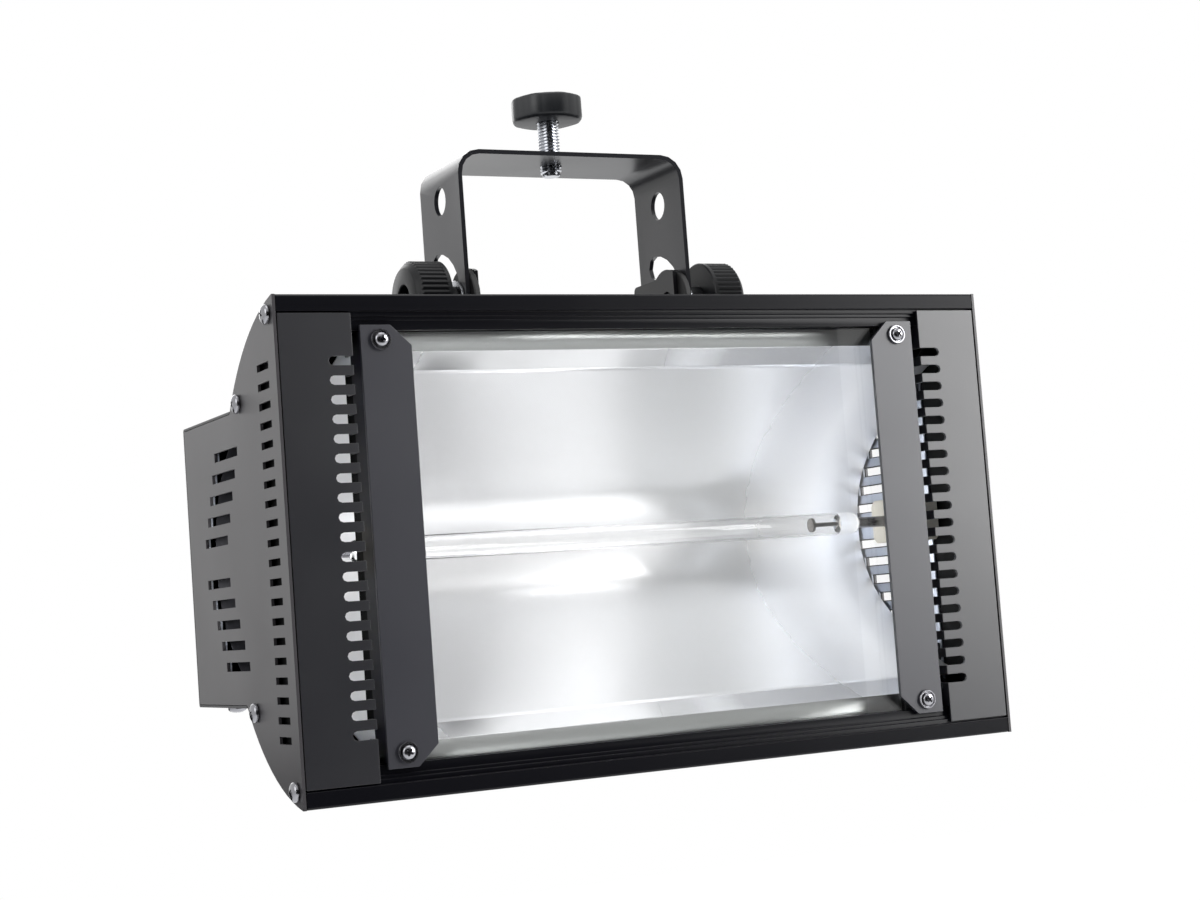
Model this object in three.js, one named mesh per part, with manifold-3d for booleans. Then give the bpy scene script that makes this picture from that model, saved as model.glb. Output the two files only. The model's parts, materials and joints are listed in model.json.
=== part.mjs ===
import * as THREE from "three";
import { mergeVertices } from "three/addons/utils/BufferGeometryUtils.js";
import Module from "manifold-3d";

// A strobe light: a wide reflector housing in a strap yoke that hangs on a bolt.
// Lengths are millimetres. X runs across, Y rearward from the front edge of the housing,
// and Z up from the middle of its height. The last group moves all of it so that the origin
// is where the hanging bolt meets the top of the strap.

const wasm = await Module();
wasm.setup();

// shared clearances and facet counts
const seatGap = 0.3;
const cutOverrun = 2;
const weldTolerance = 0.0001;
const slotFacets = 8;
const screwFacets = 12;
const roundFacets = 24;
const knobRibs = 45;
const bendSteps = 4;
const domeSteps = 2;
const arcSteps = 12;
const wholeTurn = 360;
const sides = [["left", -1], ["right", 1]];
const levels = [["top", 1], ["bottom", -1]];
const corners = [["upper", 1], ["lower", -1]];

// side plates: arc at the front, box at the rear
const housingWidth = 402;
const housingHeight = 240;
const sideThick = 1.5;
const noseDepth = 1;
const arcBulge = 2;
const boxHalfHeight = 72;
const boxLength = 82.5;
const outerX = housingWidth / 2;
const innerX = outerX - sideThick;
const betweenX = innerX - seatGap;
const halfHeight = housingHeight / 2;
const arcRadius = halfHeight + arcBulge;
const arcCentreY = noseDepth - Math.sqrt(arcRadius ** 2 - halfHeight ** 2);
const arcY = (z, radius) => arcCentreY + Math.sqrt(radius ** 2 - z ** 2);
const arcZ = (y, radius) => Math.sqrt(radius ** 2 - (y - arcCentreY) ** 2);
const boxCornerY = arcY(boxHalfHeight, arcRadius);
const boxDepth = boxCornerY + boxLength;

// side vents
const ventCount = 20;
const ventEnds = 54.34;
const ventPitch = (housingHeight - ventEnds) / ventCount;
const ventFrontY = 11.25;
const ventRearY = 28.75;
const ventHeight = 3.5;
const boxVentRows = 5;
const boxVentEdge = 19;
const boxVentPitch = (boxHalfHeight - boxVentEdge) / boxVentRows;
const boxVentLength = 39;
const boxVentHeight = 4.6;
const boxVentBack = 34.5;
const boxVentY = boxCornerY + boxVentBack;
const boxVentStep = 6.1;
const linerVentMargin = 0.6;

// screws
const frontScrewY = 8;
const frontScrewInset = 8.5;
const frontScrewZ = halfHeight - frontScrewInset;
const rearScrewRise = 3.5;
const rearScrewInset = 9.8;
const rearScrewZ = boxHalfHeight + rearScrewRise;
const rearScrewY = arcY(rearScrewZ, arcRadius - rearScrewInset);
const screwHead = 4.75;
const screwDome = 3.2;
const screwRim = 1.1;
const screwShank = 1.95;
const screwHole = screwShank + seatGap;
const frontScrewReach = 11;
const rearScrewReach = 4.3;
const sideScrewSpots = [
  ["front", frontScrewY, frontScrewZ, frontScrewReach],
  ["rear", rearScrewY, rearScrewZ, rearScrewReach],
];

// rails: extrusions with a stepped front face, a glass groove and a hollow rear block
const noseFace = 8.1;
const noseRound = 1;
const noseFoot = halfHeight - noseFace;
const noseFlat = halfHeight - noseRound;
const stepDepths = [2.1, 3.2, 4];
const stepFalls = [10.5, 12.3];
const stepHeights = stepFalls.map((fall) => halfHeight - fall);
const railHeight = 17;
const railFoot = halfHeight - railHeight;
const railRearY = 19.7;
const grooveFrontY = 6.2;
const grooveRearY = 12.6;
const grooveDepth = 5.2;
const grooveTop = railFoot + grooveDepth;
const hollowWall = 1.3;
const hollowHeight = 9;
const hollowTop = railFoot + hollowHeight;

// comb grilles and clamp plates
const combWidth = 36.4;
const combOuterX = betweenX - seatGap;
const combEdgeX = combOuterX - combWidth;
const combFrontY = 0.3;
const combSheet = 1.5;
const combEndGap = 9;
const combHalf = halfHeight - combEndGap;
const combWallRearY = 36;
const combSlotLength = 12.3;
const combSlotHeight = 4.5;
const combSlotWallY = 8;
const clampPlateGap = 4.5;
const clampPlateWidth = 26;
const clampPlateOuterX = combEdgeX - clampPlateGap;
const clampPlateInnerX = clampPlateOuterX - clampPlateWidth;
const clampPlateFrontY = 0.8;
const clampPlateSheet = 2;
const clampPlateLap = 2.25;
const clampPlateHalf = railFoot + clampPlateLap;
const clampChamferX = 10.5;
const clampChamferZ = 10;
const clampScrewInset = 10;
const clampScrewX = clampPlateOuterX - clampScrewInset;
const clampScrewDrop = 7.25;
const clampScrewZ = clampPlateHalf - clampScrewDrop;
const clampScrewHead = 5.15;
const clampScrewReach = 14;

// glass, its gasket and the bars behind the clamp plates
const glassHold = 9.6;
const glassHalfX = clampPlateInnerX + glassHold;
const glassSlack = 1.2;
const glassHalfZ = grooveTop - glassSlack;
const glassFrontY = 7.4;
const glassThick = 4;
const gasketWall = 0.6;
const gasketLap = 3.6;
const barClear = 2;
const barInset = 1;
const barInnerX = glassHalfX + barClear;
const barOuterX = clampPlateOuterX - barInset;
const barSheet = 1.5;
const barRearY = 19;

// reflector trough and its end sheets
const linerSheet = 1;
const linerInset = 4;
const linerLap = 8;
const linerFrontY = rearScrewY - linerLap;
const linerTail = 24;
const linerRearY = boxVentY + linerTail;
const linerInnerX = betweenX - linerSheet;
const reflectorSheet = 0.8;
const reflectorEndGap = 1.5;
const reflectorHalfX = linerInnerX - reflectorEndGap;
const lipLap = 7;
const lipTop = railFoot + lipLap;
const lipHeight = 15.5;
const reflectorHalfZ = lipTop - lipHeight;
const reflectorInset = 3.95;
const reflectorSteps = 14;
const lipFrontY = 20;
const reflectorClear = 32;
const reflectorDepth = boxDepth - reflectorClear - lipFrontY;
const notchLap = 0.7;
const notchX = combEdgeX - notchLap;
const notchRearY = 38;

// flash tube and lamp holders
const holderLength = 29.9;
const holderOuterX = linerInnerX - seatGap;
const holderInnerX = holderOuterX - holderLength;
const holderFrontY = 46;
const holderHalfZ = 12;
const holderSocketDepth = 12;
const tubeRadius = 6.25;
const tubeBare = 18;
const tubeHalfX = holderInnerX - tubeBare;
const tubeNeck = 3;
const tubePlugIn = 8;
const tubePinX = holderInnerX + tubePlugIn;
const tubeY = 58;
const holderChamfer = 3;

// arc covers and the rear box cover
const coverSheet = 1.2;
const arcCoverRadius = arcRadius - 1;
const tongueLap = 10;
const tabHalf = 7;
const tabFootDrop = 5;
const tabFrontY = rearScrewY - tabHalf;
const tabRearY = rearScrewY + tabHalf;
const tabFootZ = rearScrewZ - tabFootDrop;
const tabSheet = 0.9;
const tabOverlap = 0.6;
const boxCoverFrontY = boxCornerY + seatGap;
const tongueRearY = boxCoverFrontY + tongueLap;
const boxCoverBend = coverSheet + seatGap;
const boxCoverZ = boxHalfHeight + seatGap + coverSheet;
const boxCoverY = boxDepth + seatGap + coverSheet;
const coverScrewInset = 11;
const coverScrewX = outerX - coverScrewInset;
const coverScrewBack = 30;
const coverScrewY = boxDepth - coverScrewBack;
const coverScrewReach = 7;

// pivot and clamp of the yoke
const pivotBack = 38;
const pivotRise = 57;
const pivotY = boxCornerY + pivotBack;
const pivotZ = boxHalfHeight + pivotRise;
const clampAhead = 24.5;
const clampAbove = 2;
const clampY = pivotY - clampAhead;
const clampZ = pivotZ + clampAbove;
const lugOuterX = 61.3;
const lugSheet = 2.4;
const lugRound = 17.5;
const lugHeel = 9;
const lugTail = 13.5;
const lugFrontY = clampY - lugHeel;
const lugRearY = pivotY + lugTail;
const lugRoundEndY = clampY + lugHeel;
const lugShoulder = 13.5;
const lugShoulderY = clampY + lugShoulder;
const lugShoulderZ = clampZ + lugShoulder;
const lugDip = [11, 14];
const lugCorner = 3;
const bracketBend = 3.5;
const bracketScrewX = 40;
const bracketScrewAhead = 10;
const bracketScrewY = pivotY - bracketScrewAhead;
const bracketScrewReach = 8.5;
const discRim = 0.6;
const studRadius = 5;
const studHole = studRadius + seatGap;
const studTip = 1;
const standoffRadius = 6.8;
const standoffShank = 5.4;
const pivotShank = 4;
const pivotHole = pivotShank + seatGap;
const pivotHead = 6.5;
const pivotHeadHeight = 3.5;
const washerRadius = 11;
const washerSheet = 1.4;

// strap yoke
const discSpace = 4.3;
const strapSheet = 2.4;
const strapOuterX = lugOuterX + discSpace + strapSheet;
const strapFootRadius = 37;
const strapTail = 17.2;
const strapFrontY = pivotY - strapFootRadius;
const strapRearY = pivotY + strapTail;
const strapRise = 82;
const strapTopZ = pivotZ + strapRise;
const strapBend = 13;
const strapCorner = 5;
const slotRadius = 24.6;
const slotHalf = 6.65;
const slotFromAngle = 92;
const slotToAngle = 267;
const sideHoleRadius = 7.9;
const sideHoleDrop = 23.2;
const sideHoleZ = strapTopZ - sideHoleDrop;
const strapMiddleY = (strapFrontY + strapRearY) / 2;

// clamp knobs
const hubRadius = 8;
const hubReach = 10.6;
const collarWidth = 2.5;
const ribLength = 14.4;
const stepWidth = 1.4;
const faceRise = 1.8;
const knobInnerX = strapOuterX + hubReach;
const knobCollarX = knobInnerX + collarWidth;
const knobRibEndX = knobCollarX + ribLength;
const knobStepX = knobRibEndX + stepWidth;
const knobFaceX = knobStepX + faceRise;
const knobRadius = 21.1;
const ribDepth = 0.6;
const knobStepRadius = 19.6;
const knobShoulder = 18.9;
const knobFaceRadius = 17.4;
const knobRecess = 8.5;
const knobRecessDepth = 5.2;
const knobRecessX = knobFaceX - knobRecessDepth;
const knobFloor = 2;
const studEndX = knobRecessX - knobFloor;
const knobBoreEndX = studEndX + seatGap;

// hanging bolt and its knob
const boltRadius = 6;
const boltTip = 1;
const boltBelow = 8;
const boltAbove = 31.5;
const boltFootZ = strapTopZ - boltBelow;
const boltHeadZ = strapTopZ + boltAbove;
const hangGap = 22.5;
const hangKnobFootZ = strapTopZ + hangGap;
const hangKnobHeight = 13;
const hangKnobRadius = 20;
const hangKnobRound = 2;

// rear panel fittings and the circuit board
const fittingInset = 51;
const boardFromX = fittingInset - outerX;
const boardToX = 20;
const boardClear = 14;
const boardFrontY = boxDepth - boardClear;
const boardThick = 1.6;
const boardHalfZ = 50;
const capacitorRadius = 12;
const capacitorZ = 35;
const capacitorInset = 10;
const capacitorLength = 55;
const capacitorFromX = boardFromX + capacitorInset;
const capacitorToX = capacitorFromX + capacitorLength;
const solderLap = 0.4;
const coilFromX = -30;
const coilToX = 5;
const coilDepth = 16;
const coilHalfZ = 14;
const potSpots = [["rate", -60], ["intensity", -100]];
const potHalf = 9;
const potDepth = 10;
const potBush = 4.5;
const potBushEnd = 1.6;
const dialShaft = 3;
const dialRadius = 9;
const dialHeight = 14;
const dialTaper = 0.8;
const dialShaftReach = 6;
const flangeThick = 2.2;
const inletX = outerX - fittingInset;
const inletHalfX = 13;
const inletHalfZ = 23;
const inletFlange = 2.5;
const inletDepth = 22;
const inletMouthZ = 7;
const inletMouthHalfX = 11;
const inletMouthHalfZ = 7.5;
const inletMouthDepth = 15;
const inletPinHalf = 1;
const inletPinTall = 2;
const inletPinDepth = 13;
const inletPinSpread = 7;
const inletPinDrop = 2;
const inletEarthRise = 2;
const inletPinSpots = [
  [-inletPinSpread, inletMouthZ - inletPinDrop],
  [0, inletMouthZ + inletEarthRise],
  [inletPinSpread, inletMouthZ - inletPinDrop],
];
const fuseZ = -12.5;
const fuseHalfX = 8;
const fuseHalfZ = 5;
const fuseDepth = 14;
const fuseLip = 1.5;
const fuseFace = 1.8;
const remoteInset = 101;
const remoteX = outerX - remoteInset;
const remoteBush = 6;
const remoteNut = 9;
const remoteBore = 3.3;
const remoteHalf = 9;
const remoteDepth = 18;
const remoteBoreDepth = 16;

const black = { color: 0x1c1c1f, roughness: 0.3, metalness: 0 };
const graphite = { color: 0x6b696b, roughness: 0.35, metalness: 0 };
const darkGrey = { color: 0x3a3a40, roughness: 0.35, metalness: 0 };
const nickel = { color: 0xb4b4b8, roughness: 0.25, metalness: 1 };
const zinc = { color: 0xc8c8cc, roughness: 0.25, metalness: 1 };
const mirror = { color: 0xe6e6ea, roughness: 0.25, metalness: 1 };
const ceramic = { color: 0xe8e4da, roughness: 0.55, metalness: 0 };
const clear = { color: 0xdfe8ea, roughness: 0.05, metalness: 0 };
const rubber = { color: 0x151517, roughness: 0.65, metalness: 0 };
const plastic = { color: 0x17181a, roughness: 0.45, metalness: 0 };
const boardGreen = { color: 0x1f5a36, roughness: 0.4, metalness: 0 };

const axes = {
  x: [new THREE.Vector3(0, 1, 0), new THREE.Vector3(0, 0, 1), new THREE.Vector3(1, 0, 0)],
  y: [new THREE.Vector3(1, 0, 0), new THREE.Vector3(0, 0, 1), new THREE.Vector3(0, -1, 0)],
  z: [new THREE.Vector3(1, 0, 0), new THREE.Vector3(0, 1, 0), new THREE.Vector3(0, 0, 1)],
};
const across = (sign) => new THREE.Vector3(sign, 0, 0);
const forward = new THREE.Vector3(0, -1, 0);
const rearward = new THREE.Vector3(0, 1, 0);
const upward = new THREE.Vector3(0, 0, 1);
const downward = new THREE.Vector3(0, 0, -1);
const turnUp = new THREE.Vector3(0, 1, 0);

// a geometry becomes a closed solid that can be cut and joined
function solid(geometry) {
  geometry.deleteAttribute("normal");
  geometry.deleteAttribute("uv");
  const merged = mergeVertices(geometry, weldTolerance);
  const index = merged.index.array;
  const kept = [];
  for (let i = 0; i < index.length; i += 3) {
    const [a, b, c] = [index[i], index[i + 1], index[i + 2]];
    if (a !== b && b !== c && c !== a) {
      kept.push(a, b, c);
    }
  }
  const mesh = new wasm.Mesh({
    numProp: 3,
    vertProperties: new Float32Array(merged.attributes.position.array),
    triVerts: new Uint32Array(kept),
  });
  return new wasm.Manifold(mesh);
}

// a box between two limits on each axis, in either order
function block(xs, ys, zs) {
  const spans = [xs, ys, zs].map(([a, b]) => [Math.min(a, b), Math.max(a, b)]);
  const sizes = spans.map(([low, high]) => high - low);
  const middles = spans.map(([low, high]) => (low + high) / 2);
  return solid(new THREE.BoxGeometry(...sizes).translate(...middles));
}

// an outline pushed along an axis; it is drawn in the other two axes, in X, Y, Z order
function prism(axis, outline, [from, to], holes = []) {
  const shape = new THREE.Shape(outline.map(([u, v]) => new THREE.Vector2(u, v)));
  for (const hole of holes) {
    shape.holes.push(new THREE.Path(hole.map(([u, v]) => new THREE.Vector2(u, v))));
  }
  const depth = Math.abs(to - from);
  const geometry = new THREE.ExtrudeGeometry(shape, { depth, bevelEnabled: false });
  geometry.applyMatrix4(new THREE.Matrix4().makeBasis(...axes[axis]));
  const start = axis === "y" ? Math.max(from, to) : Math.min(from, to);
  const shift = new THREE.Vector3();
  shift[axis] = start;
  geometry.translate(shift.x, shift.y, shift.z);
  return solid(geometry);
}

// a geometry drawn around +Y is turned to a direction and moved to a place
function placed(geometry, place, direction) {
  geometry.applyQuaternion(new THREE.Quaternion().setFromUnitVectors(turnUp, direction));
  geometry.translate(...place);
  return solid(geometry);
}

// a profile of [radius, height] pairs turned around a direction
function turned(profile, place, direction, facets = roundFacets) {
  const points = profile.map(([radius, height]) => new THREE.Vector2(radius, height));
  return placed(new THREE.LatheGeometry(points, facets), place, direction);
}

function rod(radius, [from, to], place, direction, facets = screwFacets) {
  return turned([[0, from], [radius, from], [radius, to], [0, to]], place, direction, facets);
}

// points on an arc between two angles in degrees
function arc([u, v], radius, from, to, steps) {
  return Array.from({ length: steps + 1 }, (unused, i) => {
    const angle = THREE.MathUtils.degToRad(from + ((to - from) * i) / steps);
    return [u + radius * Math.cos(angle), v + radius * Math.sin(angle)];
  });
}

const rectangle = ([u, v], halfU, halfV) => [
  [u - halfU, v - halfV],
  [u + halfU, v - halfV],
  [u + halfU, v + halfV],
  [u - halfU, v + halfV],
];
const circle = (centre, radius) => arc(centre, radius, 0, wholeTurn, screwFacets).slice(1);

// the upper half of an outline, given front to rear, and its mirror image below
const mirrored = (upper) => [...upper, ...upper.map(([y, z]) => [y, -z]).reverse()];

// the housing's arc between two depths, rear end last
function housingArc(radius, fromY, toY, steps = arcSteps) {
  const angleAt = (y) => THREE.MathUtils.radToDeg(Math.acos((y - arcCentreY) / radius));
  return arc([arcCentreY, 0], radius, angleAt(fromY), angleAt(toY), steps);
}

// a line moved sideways by a distance, with mitred corners
function offsetLine(points, distance) {
  const normals = points.slice(1).map(([u, v], i) => {
    const [du, dv] = [u - points[i][0], v - points[i][1]];
    const length = Math.hypot(du, dv);
    return [dv / length, -du / length];
  });
  return points.map(([u, v], i) => {
    const before = normals[Math.max(i - 1, 0)];
    const after = normals[Math.min(i, normals.length - 1)];
    const scale = distance / (1 + before[0] * after[0] + before[1] * after[1]);
    return [u + (before[0] + after[0]) * scale, v + (before[1] + after[1]) * scale];
  });
}

// the section of a bent sheet: a line and the same line one thickness away
const sheet = (line, thick) => [...line, ...offsetLine(line, thick).reverse()];

// a pan head screw with its seat at the place and its head towards the direction
function screw(place, direction, head, reach) {
  const profile = [
    [0, -reach],
    [screwShank, -reach],
    [screwShank, 0],
    [head, 0],
    [head, screwRim],
    ...arc([0, screwRim], 1, 0, 90, domeSteps)
      .slice(1)
      .map(([u, v]) => [u * head, screwRim + (v - screwRim) * (screwDome - screwRim)]),
  ];
  return turned(profile, place, direction, screwFacets);
}

function piece(parent, name, finish, body) {
  const mesh = body.getMesh();
  const geometry = new THREE.BufferGeometry();
  geometry.setAttribute("position", new THREE.BufferAttribute(mesh.vertProperties, 3));
  geometry.setIndex(new THREE.BufferAttribute(mesh.triVerts, 1));
  geometry.computeVertexNormals();
  const node = new THREE.Mesh(geometry, new THREE.MeshStandardMaterial(finish));
  node.name = name;
  parent.add(node);
}

function group(parent, name) {
  const child = new THREE.Group();
  child.name = name;
  parent.add(child);
  return child;
}

const strobe = new THREE.Group();
strobe.name = "strobe";
strobe.position.set(0, -strapMiddleY, -strapTopZ);
const yoke = group(strobe, "yoke");
const hanger = group(yoke, "hanger");
const housing = group(yoke, "housing");
const chamber = group(housing, "chamber");
const electrics = group(housing, "electrics");

// side plates
const boxVents = (margin) =>
  [1, -1].flatMap((sign) =>
    Array.from({ length: boxVentRows }, (unused, i) =>
      rectangle(
        [boxVentY - boxVentStep * i, sign * boxVentPitch * (i + 1)],
        boxVentLength / 2 + margin,
        boxVentHeight / 2 + margin,
      ),
    ),
  );
const sideScrewHoles = (names) =>
  sideScrewSpots
    .filter(([name]) => names.includes(name))
    .flatMap(([, y, z]) => [circle([y, z], screwHole), circle([y, -z], screwHole)]);
const ventMiddleY = (ventFrontY + ventRearY) / 2;
const columnVents = Array.from({ length: ventCount }, (unused, i) =>
  rectangle(
    [ventMiddleY, (i - (ventCount - 1) / 2) * ventPitch],
    (ventRearY - ventFrontY) / 2,
    ventHeight / 2,
  ),
);
const sideOutline = mirrored([
  [0, halfHeight],
  ...housingArc(arcRadius, noseDepth, arcY(boxHalfHeight, arcRadius)),
  [boxDepth, boxHalfHeight],
]);
for (const [side, sign] of sides) {
  const holes = [...columnVents, ...boxVents(0), ...sideScrewHoles(["front", "rear"])];
  piece(
    housing,
    `side_plate_${side}`,
    graphite,
    prism("x", sideOutline, [sign * innerX, sign * outerX], holes),
  );
}

// side screws
for (const [side, sign] of sides) {
  for (const [spot, y, z, reach] of sideScrewSpots) {
    for (const [corner, level] of corners) {
      piece(
        housing,
        `side_screw_${side}_${spot}_${corner}`,
        nickel,
        screw([sign * (outerX + seatGap), y, level * z], across(sign), screwHead, reach),
      );
    }
  }
}

// rails
for (const [level, sign] of levels) {
  const section = [
    [0, noseFoot],
    [0, noseFlat],
    ...housingArc(arcRadius, noseDepth, railRearY, bendSteps),
    [railRearY, railFoot],
    [grooveRearY, railFoot],
    [grooveRearY, grooveTop],
    [grooveFrontY, grooveTop],
    [grooveFrontY, railFoot],
    [stepDepths[2], railFoot],
    [stepDepths[2], stepHeights[1]],
    [stepDepths[1], stepHeights[1]],
    [stepDepths[1], stepHeights[0]],
    [stepDepths[0], stepHeights[0]],
    [stepDepths[0], noseFoot],
  ];
  const hollow = [
    [grooveRearY + hollowWall, railFoot + hollowWall],
    [railRearY - hollowWall, railFoot + hollowWall],
    [railRearY - hollowWall, hollowTop],
    [grooveRearY + hollowWall, hollowTop],
  ];
  const [, portY, portZ] = sideScrewSpots[0];
  const flip = (points) => points.map(([y, z]) => [y, sign * z]);
  piece(
    housing,
    `${level}_rail`,
    black,
    prism("x", flip(section), [-betweenX, betweenX], [
      flip(hollow),
      flip(circle([portY, portZ], screwHole)),
    ]),
  );
}

// comb grilles
for (const [side, sign] of sides) {
  const faceRearY = combFrontY + combSheet;
  const wallHalf = railFoot - seatGap;
  let comb = block([sign * combEdgeX, sign * combOuterX], [combFrontY, faceRearY], [-combHalf, combHalf]);
  const wall = block(
    [sign * combEdgeX, sign * (combEdgeX + combSheet)],
    [combFrontY, combWallRearY],
    [-wallHalf, wallHalf],
  );
  comb = comb.add(wall);
  const slotEndX = combEdgeX + combSlotLength - combSlotHeight / 2;
  for (let i = 0; i < ventCount; i += 1) {
    const z = (i - (ventCount - 1) / 2) * ventPitch;
    const slot = block(
      [sign * (combEdgeX - cutOverrun), sign * slotEndX],
      [combFrontY - cutOverrun, combSlotWallY],
      [z - combSlotHeight / 2, z + combSlotHeight / 2],
    );
    const place = [sign * slotEndX, combFrontY, z];
    const end = rod(combSlotHeight / 2, [-cutOverrun, cutOverrun], place, rearward, slotFacets);
    comb = comb.subtract(slot.add(end));
  }
  piece(housing, `comb_grille_${side}`, darkGrey, comb);
}

// clamp plates, the bars behind them and their screws
for (const [side, sign] of sides) {
  const outline = [
    [clampPlateOuterX, -clampPlateHalf],
    [clampPlateOuterX, clampPlateHalf],
    [clampPlateInnerX + clampChamferX, clampPlateHalf],
    [clampPlateInnerX, clampPlateHalf - clampChamferZ],
    [clampPlateInnerX, clampChamferZ - clampPlateHalf],
    [clampPlateInnerX + clampChamferX, -clampPlateHalf],
  ].map(([x, z]) => [sign * x, z]);
  const spots = [[sign * clampScrewX, clampScrewZ], [sign * clampScrewX, -clampScrewZ]];
  const plateRearY = clampPlateFrontY + clampPlateSheet;
  piece(
    housing,
    `clamp_plate_${side}`,
    darkGrey,
    prism("y", outline, [clampPlateFrontY, plateRearY], spots.map((spot) => circle(spot, screwHole))),
  );

  const barFrontY = plateRearY + seatGap;
  const barLine = [
    [barInnerX, barRearY],
    [barInnerX, barFrontY],
    [barOuterX, barFrontY],
    [barOuterX, barRearY],
  ];
  const barSection = sheet(barLine, -barSheet).map(([x, y]) => [sign * x, y]);
  let bar = prism("z", barSection, [seatGap - railFoot, railFoot - seatGap]);
  for (const [x, z] of spots) {
    bar = bar.subtract(rod(screwHole, [-cutOverrun, barSheet + cutOverrun], [x, barFrontY, z], rearward));
  }
  piece(chamber, `glass_bar_${side}`, black, bar);

  for (const [corner, level] of corners) {
    const seat = [sign * clampScrewX, clampPlateFrontY - seatGap, level * clampScrewZ];
    piece(
      housing,
      `clamp_screw_${side}_${corner}`,
      nickel,
      screw(seat, forward, clampScrewHead, clampScrewReach),
    );
  }
}

// front glass and its gasket
const glassRearY = glassFrontY + glassThick;
piece(
  chamber,
  "front_glass",
  clear,
  block([-glassHalfX, glassHalfX], [glassFrontY, glassRearY], [-glassHalfZ, glassHalfZ]),
);
const gasketX = glassHalfX + seatGap + gasketWall;
const gasketZ = glassHalfZ + seatGap + gasketWall;
const gasketReach = seatGap + gasketWall;
let gasket = block(
  [-gasketX, gasketX],
  [glassFrontY - gasketReach, glassRearY + gasketReach],
  [-gasketZ, gasketZ],
);
gasket = gasket.subtract(
  block(
    [-glassHalfX - seatGap, glassHalfX + seatGap],
    [glassFrontY - seatGap, glassRearY + seatGap],
    [-glassHalfZ - seatGap, glassHalfZ + seatGap],
  ),
);
gasket = gasket.subtract(
  block(
    [gasketLap - glassHalfX, glassHalfX - gasketLap],
    [glassFrontY - cutOverrun, glassRearY + cutOverrun],
    [gasketLap - glassHalfZ, glassHalfZ - gasketLap],
  ),
);
piece(chamber, "glass_gasket", rubber, gasket);

// reflector: the power of its curve makes it pass the corner of the box at a set distance
const cornerShare = (arcRadius - reflectorInset) / arcRadius;
const passZ = boxHalfHeight * cornerShare;
const passY = arcCentreY + (boxCornerY - arcCentreY) * cornerShare;
const reflectorCurve =
  Math.log(1 - (passY - lipFrontY) / reflectorDepth) / Math.log(passZ / reflectorHalfZ);
const troughY = (z) => lipFrontY + reflectorDepth * (1 - (Math.abs(z) / reflectorHalfZ) ** reflectorCurve);
const troughLine = [
  [lipFrontY, lipTop],
  ...Array.from({ length: 2 * reflectorSteps + 1 }, (unused, i) => {
    const z = reflectorHalfZ * Math.cos((Math.PI * i) / (2 * reflectorSteps));
    return [troughY(z), z];
  }),
  [lipFrontY, -lipTop],
];
let reflector = prism("x", sheet(troughLine, -reflectorSheet), [-reflectorHalfX, reflectorHalfX]);
for (const [, sign] of sides) {
  reflector = reflector.subtract(
    block(
      [sign * notchX, sign * (reflectorHalfX + cutOverrun)],
      [lipFrontY - cutOverrun, notchRearY],
      [-lipTop - cutOverrun, lipTop + cutOverrun],
    ),
  );
}
piece(chamber, "reflector", mirror, reflector);

// end sheets of the reflector, behind the side plates
const linerRadius = arcRadius - linerInset;
const linerHalf = boxHalfHeight - linerInset;
const linerOutline = mirrored([
  ...housingArc(linerRadius, linerFrontY, arcY(linerHalf, linerRadius)),
  [linerRearY, linerHalf],
]);
for (const [side, sign] of sides) {
  piece(
    chamber,
    `end_reflector_${side}`,
    mirror,
    prism("x", linerOutline, [sign * (betweenX - linerSheet), sign * betweenX], [
      ...boxVents(linerVentMargin),
      ...sideScrewHoles(["rear"]),
    ]),
  );
}

// flash tube and its holders
piece(
  chamber,
  "flash_tube",
  clear,
  turned(
    [
      [0, -tubePinX],
      [tubeNeck, -tubePinX],
      [tubeNeck, -tubeHalfX],
      [tubeRadius, -tubeHalfX],
      [tubeRadius, tubeHalfX],
      [tubeNeck, tubeHalfX],
      [tubeNeck, tubePinX],
      [0, tubePinX],
    ],
    [0, tubeY, 0],
    across(1),
    screwFacets,
  ),
);
for (const [side, sign] of sides) {
  const backY = tubeY + (tubeY - holderFrontY);
  const outline = [
    [holderFrontY + holderChamfer, holderHalfZ],
    [backY - holderChamfer, holderHalfZ],
    [backY, holderHalfZ - holderChamfer],
    [backY, holderChamfer - holderHalfZ],
    [backY - holderChamfer, -holderHalfZ],
    [holderFrontY + holderChamfer, -holderHalfZ],
    [holderFrontY, holderChamfer - holderHalfZ],
    [holderFrontY, holderHalfZ - holderChamfer],
  ];
  const socket = rod(
    tubeNeck + seatGap,
    [-cutOverrun, holderSocketDepth],
    [sign * holderInnerX, tubeY, 0],
    across(sign),
  );
  piece(
    chamber,
    `lamp_holder_${side}`,
    ceramic,
    prism("x", outline, [sign * holderInnerX, sign * holderOuterX]).subtract(socket),
  );
}

// arc covers behind the rails, with end tabs for the rear side screws
const arcCoverFrontY = railRearY + seatGap + coverSheet / 2;
const arcCoverEndY = arcY(boxHalfHeight, arcCoverRadius);
for (const [level, sign] of levels) {
  const line = [
    ...housingArc(arcCoverRadius, arcCoverFrontY, arcCoverEndY),
    [tongueRearY, boxHalfHeight],
  ].map(([y, z]) => [y, sign * z]);
  let cover = prism("x", sheet(line, sign * coverSheet), [-betweenX, betweenX]);
  const tabRadius = arcCoverRadius - tabOverlap;
  const tab = [
    [tabFrontY, tabFootZ],
    [tabFrontY, arcZ(tabFrontY, tabRadius)],
    [tabRearY, arcZ(tabRearY, tabRadius)],
    [tabRearY, tabFootZ],
  ].map(([y, z]) => [y, sign * z]);
  const [, screwY, screwZ] = sideScrewSpots[1];
  for (const [, end] of sides) {
    const span = [end * (holderOuterX - tabSheet), end * holderOuterX];
    cover = cover.add(prism("x", tab, span, [circle([screwY, sign * screwZ], screwHole)]));
  }
  piece(housing, `${level}_arc_cover`, black, cover);
}

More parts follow.
